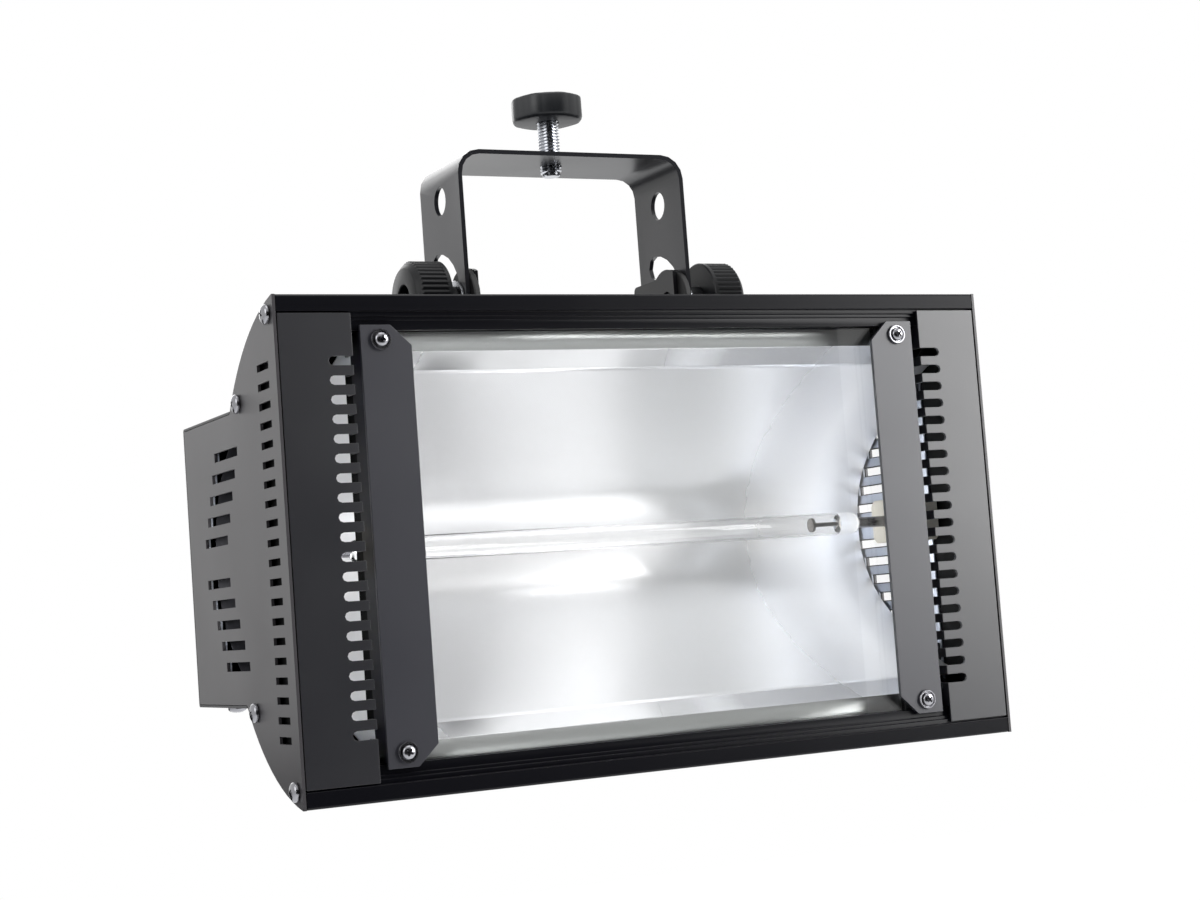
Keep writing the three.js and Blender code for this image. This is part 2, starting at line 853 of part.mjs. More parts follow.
// rear box cover
const boxCoverLine = [
  [boxCoverFrontY, boxCoverZ],
  ...arc([boxCoverY - boxCoverBend, boxCoverZ - boxCoverBend], boxCoverBend, 90, 0, bendSteps),
  ...arc([boxCoverY - boxCoverBend, boxCoverBend - boxCoverZ], boxCoverBend, 0, -90, bendSteps),
  [boxCoverFrontY, -boxCoverZ],
];
let boxCover = prism("x", sheet(boxCoverLine, coverSheet), [-outerX, outerX]);
const panelSpan = [boxCoverY - coverSheet - cutOverrun, boxCoverY + cutOverrun];
const inletCut = [
  [inletX - inletHalfX - seatGap, inletX + inletHalfX + seatGap],
  panelSpan,
  [-inletHalfZ - seatGap, inletHalfZ + seatGap],
];
boxCover = boxCover.subtract(block(...inletCut));
boxCover = boxCover.subtract(rod(remoteBush + seatGap, panelSpan, [remoteX, 0, 0], rearward));
for (const [, x] of potSpots) {
  boxCover = boxCover.subtract(rod(potBush + seatGap, panelSpan, [x, 0, 0], rearward));
}
const wallSpan = [boxCoverZ - coverSheet - cutOverrun, boxCoverZ + cutOverrun];
for (const [, sign] of sides) {
  boxCover = boxCover.subtract(rod(screwHole, wallSpan, [sign * bracketScrewX, bracketScrewY, 0], upward));
  boxCover = boxCover.subtract(rod(screwHole, wallSpan, [sign * coverScrewX, coverScrewY, 0], downward));
}
piece(housing, "box_cover", black, boxCover);
for (const [side, sign] of sides) {
  const seat = [sign * coverScrewX, coverScrewY, -boxCoverZ - seatGap];
  piece(housing, `cover_screw_${side}`, nickel, screw(seat, downward, screwHead, coverScrewReach));
}

// pivot bracket: a U of sheet whose two lugs carry the pivot and the clamp
const bracketFootZ = boxCoverZ + seatGap;
const bracketLine = [
  [-lugOuterX, clampZ + lugRound + cutOverrun],
  ...arc([bracketBend - lugOuterX, bracketFootZ + bracketBend], bracketBend, 180, 270, bendSteps),
  ...arc([lugOuterX - bracketBend, bracketFootZ + bracketBend], bracketBend, 270, 360, bendSteps),
  [lugOuterX, clampZ + lugRound + cutOverrun],
];
const lugAngle = (y) => THREE.MathUtils.radToDeg(Math.acos((y - clampY) / lugRound));
const lugOutline = [
  [lugFrontY, bracketFootZ - cutOverrun],
  ...arc([clampY, clampZ], lugRound, lugAngle(lugFrontY), lugAngle(lugRoundEndY), bendSteps * 2),
  [clampY + lugDip[0], clampZ + lugDip[1]],
  [lugShoulderY, lugShoulderZ],
  ...arc([lugRearY - lugCorner, lugShoulderZ - lugCorner], lugCorner, 90, 0, bendSteps),
  [lugRearY, bracketFootZ - cutOverrun],
];
const lugReach = [-lugOuterX - cutOverrun, lugOuterX + cutOverrun];
let bracket = prism("y", sheet(bracketLine, -lugSheet), [lugFrontY, lugRearY]);
bracket = bracket.intersect(prism("x", lugOutline, lugReach));
bracket = bracket.subtract(rod(studHole, lugReach, [0, clampY, clampZ], across(1)));
bracket = bracket.subtract(rod(standoffShank + seatGap, lugReach, [0, pivotY, pivotZ], across(1)));
for (const [, sign] of sides) {
  const span = [-cutOverrun, lugSheet + cutOverrun];
  const foot = [sign * bracketScrewX, bracketScrewY, bracketFootZ];
  bracket = bracket.subtract(rod(screwHole, span, foot, upward));
}
piece(housing, "pivot_bracket", graphite, bracket);
for (const [side, sign] of sides) {
  const seat = [sign * bracketScrewX, bracketScrewY, bracketFootZ + lugSheet + seatGap];
  piece(housing, `bracket_screw_${side}`, nickel, screw(seat, upward, screwHead, bracketScrewReach));
}

// friction discs, pivots, studs, washers and clamp knobs
const discFromX = lugOuterX + seatGap;
const strapInnerX = strapOuterX - strapSheet;
const discToX = strapInnerX - seatGap;
const washerFromX = strapOuterX + seatGap;
const washerToX = washerFromX + washerSheet;
const lugInnerX = lugOuterX - lugSheet;
for (const [side, sign] of sides) {
  const clampPlace = [0, clampY, clampZ];
  const pivotPlace = [0, pivotY, pivotZ];
  const out = across(sign);

  const disc = [
    [studHole, discFromX],
    [lugRound - discRim, discFromX],
    [lugRound, discFromX + discRim],
    [lugRound, discToX - discRim],
    [lugRound - discRim, discToX],
    [studHole, discToX],
    [studHole, discFromX],
  ];
  piece(housing, `friction_disc_${side}`, rubber, turned(disc, clampPlace, out));

  const standoff = [
    [pivotHole, lugInnerX],
    [standoffShank, lugInnerX],
    [standoffShank, discFromX],
    [standoffRadius, discFromX],
    [standoffRadius, discToX],
    [pivotHole, discToX],
    [pivotHole, lugInnerX],
  ];
  piece(housing, `pivot_standoff_${side}`, zinc, turned(standoff, pivotPlace, out, screwFacets));

  const pivotScrew = [
    [0, lugInnerX],
    [pivotShank, lugInnerX],
    [pivotShank, washerFromX],
    [pivotHead, washerFromX],
    [pivotHead, washerFromX + pivotHeadHeight - discRim],
    [pivotHead - discRim, washerFromX + pivotHeadHeight],
    [0, washerFromX + pivotHeadHeight],
  ];
  piece(housing, `pivot_screw_${side}`, zinc, turned(pivotScrew, pivotPlace, out, screwFacets));

  const stud = [
    [0, lugInnerX],
    [studRadius, lugInnerX],
    [studRadius, studEndX - studTip],
    [studRadius - studTip, studEndX],
    [0, studEndX],
  ];
  piece(housing, `clamp_stud_${side}`, zinc, turned(stud, clampPlace, out, screwFacets));

  const clampGroup = group(housing, `clamp_${side}`);
  const washer = [
    [studHole, washerFromX],
    [washerRadius, washerFromX],
    [washerRadius, washerToX],
    [studHole, washerToX],
    [studHole, washerFromX],
  ];
  piece(clampGroup, `clamp_washer_${side}`, zinc, turned(washer, clampPlace, out, screwFacets));

  const hubFromX = washerToX + seatGap;
  const valley = knobRadius - ribDepth;
  const knob = [
    [0, knobBoreEndX],
    [studHole, knobBoreEndX],
    [studHole, hubFromX],
    [hubRadius, hubFromX],
    [hubRadius, knobInnerX],
    [knobRadius, knobInnerX],
    [knobRadius, knobCollarX],
    [knobFaceRadius, knobCollarX],
    [knobFaceRadius, knobRibEndX - ribDepth],
    [valley, knobRibEndX - ribDepth],
    [knobStepRadius, knobStepX],
    [knobShoulder, knobStepX],
    [knobFaceRadius, knobFaceX],
    [knobRecess, knobFaceX],
    [knobRecess, knobRecessX],
    [0, knobRecessX],
  ];
  const ribPitch = wholeTurn / knobRibs;
  const ribs = Array.from({ length: knobRibs }, (unused, i) => {
    const centre = [clampY, clampZ];
    const [peak] = arc(centre, knobRadius, i * ribPitch, i * ribPitch, 1);
    const [, dip] = arc(centre, valley, i * ribPitch, (i + 1 / 2) * ribPitch, 1);
    return [peak, dip];
  }).flat();
  const ribSpan = [sign * (knobCollarX - ribDepth), sign * knobRibEndX];
  const core = rod(knobFaceRadius - ribDepth, [knobInnerX, knobFaceX], clampPlace, out);
  const ribBand = prism("x", ribs, ribSpan).subtract(core);
  piece(clampGroup, `clamp_knob_${side}`, plastic, turned(knob, clampPlace, out).add(ribBand));
}

// strap yoke
const strapLine = [
  [-strapOuterX, pivotZ - strapFootRadius],
  ...arc([strapBend - strapOuterX, strapTopZ - strapBend], strapBend, 180, 90, bendSteps),
  ...arc([strapOuterX - strapBend, strapTopZ - strapBend], strapBend, 90, 0, bendSteps),
  [strapOuterX, pivotZ - strapFootRadius],
];
const rearReach = strapRearY - pivotY;
const footAngle = THREE.MathUtils.radToDeg(Math.acos(rearReach / strapFootRadius));
const cornerAngle = THREE.MathUtils.radToDeg(
  Math.acos((rearReach - strapCorner) / (strapFootRadius - strapCorner)),
);
const cornerCentre = [
  strapRearY - strapCorner,
  pivotZ - Math.sqrt((strapFootRadius - strapCorner) ** 2 - (rearReach - strapCorner) ** 2),
];
const legOutline = [
  [strapFrontY, strapTopZ + cutOverrun],
  ...arc([pivotY, pivotZ], strapFootRadius, 180, wholeTurn - cornerAngle, arcSteps),
  ...arc(cornerCentre, strapCorner, -cornerAngle, 0, bendSteps).slice(1),
  [strapRearY, strapTopZ + cutOverrun],
];
const strapReach = [-strapOuterX - cutOverrun, strapOuterX + cutOverrun];
let strap = prism("y", sheet(strapLine, strapSheet), [strapFrontY, strapRearY]);
strap = strap.intersect(prism("x", legOutline, strapReach));
const slotEnd = (angle, from) => {
  const [centre] = arc([pivotY, pivotZ], slotRadius, angle, angle, 1);
  return arc(centre, slotHalf, from, from + 180, bendSteps).slice(1, -1);
};
const slotOutline = [
  ...arc([pivotY, pivotZ], slotRadius + slotHalf, slotFromAngle, slotToAngle, arcSteps),
  ...slotEnd(slotToAngle, slotToAngle),
  ...arc([pivotY, pivotZ], slotRadius - slotHalf, slotToAngle, slotFromAngle, arcSteps),
  ...slotEnd(slotFromAngle, slotFromAngle + 180),
];
strap = strap.subtract(prism("x", slotOutline, strapReach));
strap = strap.subtract(rod(pivotHole, strapReach, [0, pivotY, pivotZ], across(1)));
strap = strap.subtract(rod(sideHoleRadius, strapReach, [0, strapMiddleY, sideHoleZ], across(1), roundFacets));
const topSpan = [-strapSheet - cutOverrun, cutOverrun];
strap = strap.subtract(rod(boltRadius + seatGap, topSpan, [0, strapMiddleY, strapTopZ], upward));
piece(yoke, "yoke_strap", darkGrey, strap);

// hanging bolt and knob
const bolt = [
  [0, boltFootZ],
  [boltRadius - boltTip, boltFootZ],
  [boltRadius, boltFootZ + boltTip],
  [boltRadius, boltHeadZ],
  [0, boltHeadZ],
];
const boltPlace = [0, strapMiddleY, 0];
piece(hanger, "hanging_bolt", zinc, turned(bolt, boltPlace, upward, screwFacets));
const hangKnobTopZ = hangKnobFootZ + hangKnobHeight;
const roundCentre = [hangKnobRadius - hangKnobRound, hangKnobFootZ + hangKnobRound];
const hangKnob = [
  [0, boltHeadZ + seatGap],
  [boltRadius + seatGap, boltHeadZ + seatGap],
  [boltRadius + seatGap, hangKnobFootZ],
  ...arc(roundCentre, hangKnobRound, -90, 0, domeSteps),
  [hangKnobRadius, hangKnobTopZ - discRim],
  [hangKnobRadius - discRim, hangKnobTopZ],
  [0, hangKnobTopZ],
];
piece(hanger, "hanging_knob", plastic, turned(hangKnob, boltPlace, upward));

// circuit board with its soldered parts
const boardRearY = boardFrontY + boardThick;
let board = block([boardFromX, boardToX], [boardFrontY, boardRearY], [-boardHalfZ, boardHalfZ]);
for (const z of [capacitorZ, -capacitorZ]) {
  const y = boardFrontY - capacitorRadius + solderLap;
  board = board.add(rod(capacitorRadius, [capacitorFromX, capacitorToX], [0, y, z], across(1)));
}
board = board.add(
  block([coilFromX, coilToX], [boardFrontY - coilDepth, boardFrontY + solderLap], [-coilHalfZ, coilHalfZ]),
);
const bushEndY = boxCoverY + potBushEnd;
for (const [, x] of potSpots) {
  const bodySpan = [boardRearY - solderLap, boardRearY + potDepth];
  board = board.add(block([x - potHalf, x + potHalf], bodySpan, [-potHalf, potHalf]));
  board = board.add(rod(potBush, [boardRearY + potDepth - solderLap, bushEndY], [x, 0, 0], rearward));
  const boreSpan = [bushEndY - dialShaftReach - seatGap, bushEndY + cutOverrun];
  board = board.subtract(rod(dialShaft + seatGap, boreSpan, [x, 0, 0], rearward));
}
piece(electrics, "circuit_board", boardGreen, board);

// rate and intensity knobs with their shafts
const dialFootY = bushEndY + seatGap;
const dialTopY = dialFootY + dialHeight;
for (const [name, x] of potSpots) {
  const dial = [
    [0, bushEndY - dialShaftReach],
    [dialShaft, bushEndY - dialShaftReach],
    [dialShaft, dialFootY],
    [dialRadius, dialFootY],
    [dialRadius - dialTaper, dialTopY - dialTaper],
    [dialRadius - dialTaper - dialTaper, dialTopY],
    [0, dialTopY],
  ];
  let body = turned(dial, [x, 0, 0], rearward);
  const markSpan = [dialTopY - dialTaper, dialTopY + cutOverrun];
  const mark = block([x - dialTaper, x + dialTaper], markSpan, [dialShaft, dialRadius + cutOverrun]);
  body = body.subtract(mark);
  piece(electrics, `${name}_knob`, plastic, body);
}

// power inlet with its fuse drawer
const flangeFootY = boxCoverY + seatGap;
const flangeTopY = flangeFootY + flangeThick;
const inletFrontY = boxCoverY - coverSheet - inletDepth;
let inlet = block([inletX - inletHalfX, inletX + inletHalfX], [inletFrontY, flangeTopY], [-inletHalfZ, inletHalfZ]);
inlet = inlet.add(
  block(
    [inletX - inletHalfX - inletFlange, inletX + inletHalfX + inletFlange],
    [flangeFootY, flangeTopY],
    [-inletHalfZ - inletFlange, inletHalfZ + inletFlange],
  ),
);
inlet = inlet.subtract(
  block(
    [inletX - inletMouthHalfX, inletX + inletMouthHalfX],
    [flangeTopY - inletMouthDepth, flangeTopY + cutOverrun],
    [inletMouthZ - inletMouthHalfZ, inletMouthZ + inletMouthHalfZ],
  ),
);
for (const [x, z] of inletPinSpots) {
  const foot = flangeTopY - inletMouthDepth - solderLap;
  inlet = inlet.add(
    block(
      [inletX + x - inletPinHalf, inletX + x + inletPinHalf],
      [foot, foot + inletPinDepth],
      [z - inletPinTall, z + inletPinTall],
    ),
  );
}
inlet = inlet.subtract(
  block(
    [inletX - fuseHalfX - seatGap, inletX + fuseHalfX + seatGap],
    [flangeTopY - fuseDepth - seatGap, flangeTopY + cutOverrun],
    [fuseZ - fuseHalfZ - seatGap, fuseZ + fuseHalfZ + seatGap],
  ),
);
piece(electrics, "power_inlet", plastic, inlet);
const drawer = block(
  [inletX - fuseHalfX, inletX + fuseHalfX],
  [flangeTopY - fuseDepth, flangeTopY + seatGap + fuseFace],
  [fuseZ - fuseHalfZ, fuseZ + fuseHalfZ],
).add(
  block(
    [inletX - fuseHalfX - fuseLip, inletX + fuseHalfX + fuseLip],
    [flangeTopY + seatGap, flangeTopY + seatGap + fuseFace],
    [fuseZ - fuseHalfZ - fuseLip, fuseZ + fuseHalfZ + fuseLip],
  ),
);
piece(electrics, "fuse_drawer", plastic, drawer);

// remote socket
const remoteBackY = boxCoverY - coverSheet - seatGap;
let remote = block(
  [remoteX - remoteHalf, remoteX + remoteHalf],
  [remoteBackY - remoteDepth, remoteBackY],
  [-remoteHalf, remoteHalf],
);
remote = remote.add(rod(remoteBush, [remoteBackY - solderLap, flangeTopY], [remoteX, 0, 0], rearward));
remote = remote.add(rod(remoteNut, [flangeFootY, flangeTopY], [remoteX, 0, 0], rearward, 6));
remote = remote.subtract(
  rod(remoteBore, [flangeTopY - remoteBoreDepth, flangeTopY + cutOverrun], [remoteX, 0, 0], rearward),
);
piece(electrics, "remote_socket", plastic, remote);

export default strobe;
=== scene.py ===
import json
import math

import bmesh
import bpy
from mathutils import Matrix, Vector

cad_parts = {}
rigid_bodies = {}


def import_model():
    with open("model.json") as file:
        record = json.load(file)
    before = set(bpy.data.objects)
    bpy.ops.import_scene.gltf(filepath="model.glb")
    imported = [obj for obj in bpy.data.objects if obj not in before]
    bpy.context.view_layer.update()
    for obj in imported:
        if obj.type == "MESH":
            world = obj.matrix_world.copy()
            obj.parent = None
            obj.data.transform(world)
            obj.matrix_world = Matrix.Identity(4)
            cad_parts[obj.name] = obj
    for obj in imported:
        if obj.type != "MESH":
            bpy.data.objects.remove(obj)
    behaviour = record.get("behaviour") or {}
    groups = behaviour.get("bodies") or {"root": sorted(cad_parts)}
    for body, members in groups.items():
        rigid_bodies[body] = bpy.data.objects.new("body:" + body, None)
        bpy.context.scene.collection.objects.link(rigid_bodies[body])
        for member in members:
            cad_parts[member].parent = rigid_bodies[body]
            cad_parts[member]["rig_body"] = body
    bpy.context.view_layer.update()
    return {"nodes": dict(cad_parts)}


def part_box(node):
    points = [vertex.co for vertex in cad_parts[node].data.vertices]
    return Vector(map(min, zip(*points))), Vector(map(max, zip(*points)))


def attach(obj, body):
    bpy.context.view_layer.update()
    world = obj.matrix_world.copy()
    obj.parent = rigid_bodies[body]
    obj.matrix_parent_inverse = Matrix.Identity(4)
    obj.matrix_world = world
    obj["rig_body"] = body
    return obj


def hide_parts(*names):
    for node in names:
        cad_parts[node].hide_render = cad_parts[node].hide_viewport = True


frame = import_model()

# The camera stands left of the light and a little below its yoke, as the photographer did.
# Its place and turn are in the light's own frame, whose origin is on the hanging bolt.
view = bpy.data.objects.new("view", bpy.data.cameras.new("view"))
bpy.context.scene.collection.objects.link(view)
view.data.lens = 64.62
view.data.sensor_width = 36.0
view.data.clip_start = 0.05
view.matrix_world = Matrix(
    (
        (0.89284525, 0.03238404, -0.44919776, -0.51794),
        (-0.44433093, -0.09936437, -0.89033519, -1.06152),
        (-0.07346691, 0.994524, -0.07432777, -0.24953),
        (0, 0, 0, 1),
    )
)
bpy.context.scene.camera = view
bpy.context.scene.view_settings.view_transform = "Standard"


def add_object(name, data):
    """An object in the scene that carries the data given."""
    made = bpy.data.objects.new(name, data)
    bpy.context.scene.collection.objects.link(made)
    return made


def linear(code):
    """An sRGB hex colour as the linear colour that shaders use."""
    parts = [int(code[i : i + 2], 16) / 255 for i in (0, 2, 4)]
    return tuple(
        p / 12.92 if p <= 0.04045 else ((p + 0.055) / 1.055) ** 2.4 for p in parts
    ) + (1.0,)


def node_material(name):
    """A material with an empty node tree, and that tree."""
    made = bpy.data.materials.new(name)
    made.use_nodes = True
    made.node_tree.nodes.clear()
    return made, made.node_tree


def add_node(tree, kind, settings=None, links=None):
    """A node with its settings, and the outputs that feed its inputs."""
    made = tree.nodes.new(kind)
    for name, value in (settings or {}).items():
        if isinstance(name, str) and hasattr(made, name):
            setattr(made, name, value)
        else:
            made.inputs[name].default_value = value
    for name, output in (links or {}).items():
        tree.links.new(output, made.inputs[name])
    return made


def larger(tree, first, second):
    """The larger of two values."""
    links = {0: first, 1: second}
    return add_node(tree, "ShaderNodeMath", {"operation": "MAXIMUM"}, links).outputs[0]


def times(tree, value, factor):
    """A value multiplied by a number."""
    settings = {"operation": "MULTIPLY", 1: factor}
    return add_node(tree, "ShaderNodeMath", settings, {0: value}).outputs[0]


def remap(tree, value, bounds):
    """A value moved from one range to another."""
    return add_node(tree, "ShaderNodeMapRange", bounds, {"Value": value}).outputs[0]


def own_place(tree):
    """The coordinates of an object's own frame."""
    return add_node(tree, "ShaderNodeTexCoord").outputs["Object"]


def noise(tree, place, scale, detail=2.0):
    """Soft noise over a place."""
    settings = {"Scale": scale, "Detail": detail}
    return add_node(tree, "ShaderNodeTexNoise", settings, {"Vector": place}).outputs[0]


def relief(tree, height, strength, distance):
    """A surface that rises and falls with a height."""
    settings = {"Strength": strength, "Distance": distance}
    return add_node(tree, "ShaderNodeBump", settings, {"Height": height}).outputs[0]


def blend(tree, factor, first, second):
    """Two hex colours, mixed by a factor."""
    made = add_node(tree, "ShaderNodeMix", {"data_type": "RGBA"}, {0: factor})
    made.inputs[6].default_value = linear(first)
    made.inputs[7].default_value = linear(second)
    return made.outputs[2]


def mix(tree, factor, first, second):
    """Two shaders, mixed by a factor."""
    links = {0: factor, 1: first.outputs[0], 2: second.outputs[0]}
    return add_node(tree, "ShaderNodeMixShader", {}, links)


def show(tree, shader):
    """Gives a material's surface its shader."""
    add_node(tree, "ShaderNodeOutputMaterial", {}, {"Surface": shader.outputs[0]})


def seen_directly(tree):
    """1 where a surface is seen by the camera, through glass or in a reflection."""
    path = add_node(tree, "ShaderNodeLightPath").outputs
    seen = larger(tree, path["Is Camera Ray"], path["Is Transmission Ray"])
    return larger(tree, seen, path["Is Glossy Ray"])


# The studio is a white room, seen at full white, that lights the paint more gently. Its floor
# glows too where it is seen, and keeps the light's shadow.
white = (1, 1, 1, 1)
room_light = 0.35
room = bpy.data.worlds.new("white_room")
room.use_nodes = True
bpy.context.scene.world = room
tree = room.node_tree
tree.nodes.clear()
soft_sky = {"Color": linear("e6ebf2"), "Strength": room_light}
soft = add_node(tree, "ShaderNodeBackground", soft_sky)
bright = add_node(tree, "ShaderNodeBackground", {"Color": white, "Strength": 1.0})
mixed = mix(tree, seen_directly(tree), soft, bright)
add_node(tree, "ShaderNodeOutputWorld", {}, {"Surface": mixed.outputs[0]})

floor_drop = -0.95
floor_reach = 4.0
floor_glow = 0.8
bm = bmesh.new()
floor_place = Matrix.Translation((0, 0, floor_drop))
bmesh.ops.create_grid(bm, x_segments=1, y_segments=1, size=floor_reach, matrix=floor_place)
floor_mesh = bpy.data.meshes.new("floor")
bm.to_mesh(floor_mesh)
bm.free()
floor = add_object("floor", floor_mesh)
pale, tree = node_material("pale_floor")
share = times(tree, seen_directly(tree), floor_glow)
matt = add_node(tree, "ShaderNodeBsdfDiffuse", {"Color": linear("e4e4e4")})
glow = add_node(tree, "ShaderNodeEmission", {"Color": white}, {"Strength": share})
both = add_node(tree, "ShaderNodeAddShader", {}, {0: matt.outputs[0], 1: glow.outputs[0]})
show(tree, both)
floor.data.materials.append(pale)

# A black card stands behind the camera, so that the flat front faces stay dark, and a low one
# behind the light darkens the foot of the side plate. Only reflections see the cards, and those
# behind the front glass see them faintly.
faintness = 0.6
velvet, tree = node_material("black_velvet")
panes = add_node(tree, "ShaderNodeLightPath").outputs["Transmission Depth"]
glazed = add_node(tree, "ShaderNodeMath", {"operation": "GREATER_THAN", 1: 0.5}, {0: panes})
cloth = add_node(tree, "ShaderNodeBsdfDiffuse", {"Color": linear("0a0a0c")})
clear = add_node(tree, "ShaderNodeBsdfTransparent")
show(tree, mix(tree, times(tree, glazed.outputs[0], faintness), cloth, clear))
cards = (
    ("black_card", (-1.6, 1.2), -1.75, (-1.1, 0.8)),
    ("side_flag", (-1.5, -0.15), 1.2, (-0.94, -0.38)),
)
for name, (left, right), y, (foot, head) in cards:
    bm = bmesh.new()
    corners = ((left, foot), (right, foot), (right, head), (left, head))
    bm.faces.new([bm.verts.new((x, y, z)) for x, z in corners])
    card_mesh = bpy.data.meshes.new(name)
    bm.to_mesh(card_mesh)
    bm.free()
    card = add_object(name, card_mesh)
    for seen_by in ("camera", "diffuse", "transmission", "shadow"):
        setattr(card, "visible_" + seen_by, False)
    card.data.materials.append(velvet)

# Five soft boxes: one over the left shoulder of the camera for the side plate, one far to the
# right of the front for the sheen on the right-hand plates, one above for the yoke, one behind
# for the box, and one in front that lights the chamber behind the glass alone.
lamps = (
    ("key_left", (-1.6, -0.7, 0.7), (1.2, 1.2), 10),
    ("sheen_right", (1.58, -1.24, 0.36), (1.2, 1.4), 44),
    ("top_soft", (0.2, -0.3, 1.3), (1.2, 1.2), 8),
    ("back_soft", (0.3, 1.7, 0.6), (1.6, 1.2), 14),
    ("chamber_left", (-1.1, -1.0, -0.05), (0.6, 0.8), 60),
)
aim = Vector((0, 0, -0.18))
for name, place, size, power in lamps:
    lamp = bpy.data.lights.new(name, "AREA")
    lamp.shape = "RECTANGLE"
    lamp.size, lamp.size_y = size
    lamp.energy = power
    holder = add_object(name, lamp)
    holder.location = place
    holder.rotation_euler = (aim - Vector(place)).to_track_quat("-Z", "Y").to_euler()


def coat(name, colour, roughness, peel=0.00045, depth=0.12, mottle="101010", shine=0.5):
    """Powder coat: one colour, drifting a little in tone, over a fine pebbled skin."""
    made, tree = node_material(name)
    place = own_place(tree)
    drift = noise(tree, place, 14.0, 3.0)
    spots = remap(tree, drift, {"From Min": 0.35, "From Max": 0.8, "To Min": 0.0, "To Max": 0.3})
    skin = noise(tree, place, 1 / peel / 2)
    gloss = remap(tree, drift, {"To Min": roughness - 0.04, "To Max": roughness + 0.06})
    links = {
        "Base Color": blend(tree, spots, colour, mottle),
        "Roughness": gloss,
        "Normal": relief(tree, skin, depth, 0.0001),
    }
    settings = {"IOR": 1.5, "Specular IOR Level": shine}
    show(tree, add_node(tree, "ShaderNodeBsdfPrincipled", settings, links))
    return made


def metal(name, colour, roughness, grain=0.0, bump=0.0):
    """Bare or plated metal with fine marks from making and handling."""
    made, tree = node_material(name)
    marks = noise(tree, own_place(tree), 900.0, 4.0)
    smoothest = max(roughness - grain, 0.02)
    gloss = remap(tree, marks, {"To Min": smoothest, "To Max": roughness + grain})
    settings = {"Metallic": 1.0, "Base Color": linear(colour)}
    links = {"Roughness": gloss, "Normal": relief(tree, marks, bump, 0.00005)}
    show(tree, add_node(tree, "ShaderNodeBsdfPrincipled", settings, links))
    return made


def glassy(tree, ior, waves, strength, distance):
    """Clear glass with a faintly uneven surface."""
    settings = {"Base Color": white, "Roughness": 0.0, "IOR": ior, "Transmission Weight": 1.0}
    links = {"Normal": relief(tree, waves, strength, distance)}
    return add_node(tree, "ShaderNodeBsdfPrincipled", settings, links)


def lined(piece, finish, inward, limit=0.9):
    """Gives the faces of a sheet that look inward, into the housing, their own finish."""
    piece.data.materials.append(finish)
    for face in piece.data.polygons:
        face.material_index = 1 if face.normal.dot(Vector(inward)) > limit else 0
    return piece


same_point = 0.000001
same_plane = math.radians(0.6)
rounded_from = math.radians(40)


def dress(node, finish, edge, smooth=32, trim=None):
    """A copy of a made piece, merged, with its sharp edges rounded as the real ones are."""
    bm = bmesh.new()
    bm.from_mesh(frame["nodes"][node].data)
    bmesh.ops.remove_doubles(bm, verts=bm.verts, dist=same_point)
    if trim is not None:
        whole = bm.verts[:] + bm.edges[:] + bm.faces[:]
        bmesh.ops.bisect_plane(
            bm, geom=whole, plane_co=(0, trim, 0), plane_no=(0, 1, 0), clear_outer=True
        )
        bmesh.ops.holes_fill(bm, edges=[e for e in bm.edges if e.is_boundary])
    bmesh.ops.dissolve_limit(bm, angle_limit=same_plane, verts=bm.verts, edges=bm.edges)
    mesh = bpy.data.meshes.new(node + "_skin")
    bm.to_mesh(mesh)
    bm.free()
    mesh.shade_smooth()
    mesh.set_sharp_from_angle(angle=math.radians(smooth))
    piece = add_object(node + "_skin", mesh)
    piece.data.materials.append(finish)
    rounding = piece.modifiers.new("rounding", "BEVEL")
    rounding.width = edge
    rounding.segments = 2
    rounding.limit_method = "ANGLE"
    rounding.angle_limit = rounded_from
    rounding.harden_normals = True
    body = frame["nodes"][node]["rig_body"]
    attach(piece, body)
    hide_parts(node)
    return piece


# The side plates are laser-cut steel sheet, 1.5 mm thick, with a column of vents for the lamp
# space and two fans of slots for the box. They are coated in graphite powder that dries to a
# fine orange peel with a soft sheen.
sides = (("left", -1), ("right", 1))
graphite_coat = coat("graphite_powder_coat", "424042", 0.34, mottle="383638", shine=0.42)
# Flat black that stands for the shade inside the housing: painted shade on the inner faces of the
# side plates, the outer faces of the end sheets and the strips and cards behind the vents, so
# that the vents and slots look dark.
painted_shade_black = coat(
    "painted_shade_black_coat", "060607", 0.7, peel=0.0006, depth=0.2, mottle="040404", shine=0.15
)
for side, sign in sides:
    plate = dress(f"side_plate_{side}", graphite_coat, 0.0003)
    # Painted shade: the faces inside the housing are flat black.
    lined(plate, painted_shade_black, (-sign, 0, 0))

# The top and bottom rails are extruded aluminium with a stepped front face, coated black. The
# coat on an extrusion lies flatter than on sheet, so the steps show as thin lines of light.
black_coat = coat(
    "black_powder_coat", "0b0b10", 0.3, peel=0.0003, depth=0.05, mottle="07070b", shine=0.12
)
for level in ("top", "bottom"):
    dress(f"{level}_rail", black_coat, 0.00035)

# The curved covers and the box cover close the back. They are bent from 1.2 mm steel sheet and
# coated in satin black powder, whose skin is coarser than that of the rails.
cover_coat = coat(
    "satin_black_powder_coat", "1c1c20", 0.4, peel=0.0007, depth=0.2, mottle="151518", shine=0.45
)
for level in ("top", "bottom"):
    dress(f"{level}_arc_cover", cover_coat, 0.0002)
dress("box_cover", cover_coat, 0.0003)

# The comb grilles are folded sheet, slotted across the fold so that the lamp space breathes.
# The slots leave short fingers with folded tips, and the walls behind those tips are cut away.
# The front carries the darkest coat, and the side that faces the lamp is bare zinc sheet.
dark_coat = coat("dark_powder_coat", "15151b", 0.34, mottle="101015", shine=0.8)
bare_sheet = metal("bare_zinc_sheet", "eff1f4", 0.3, 0.04, 0.05)
finger_tip = -0.0978
for side, sign in sides:
    comb = dress(f"comb_grille_{side}", dark_coat, 0.0002, trim=finger_tip)
    lined(comb, bare_sheet, (0, 1, 0))

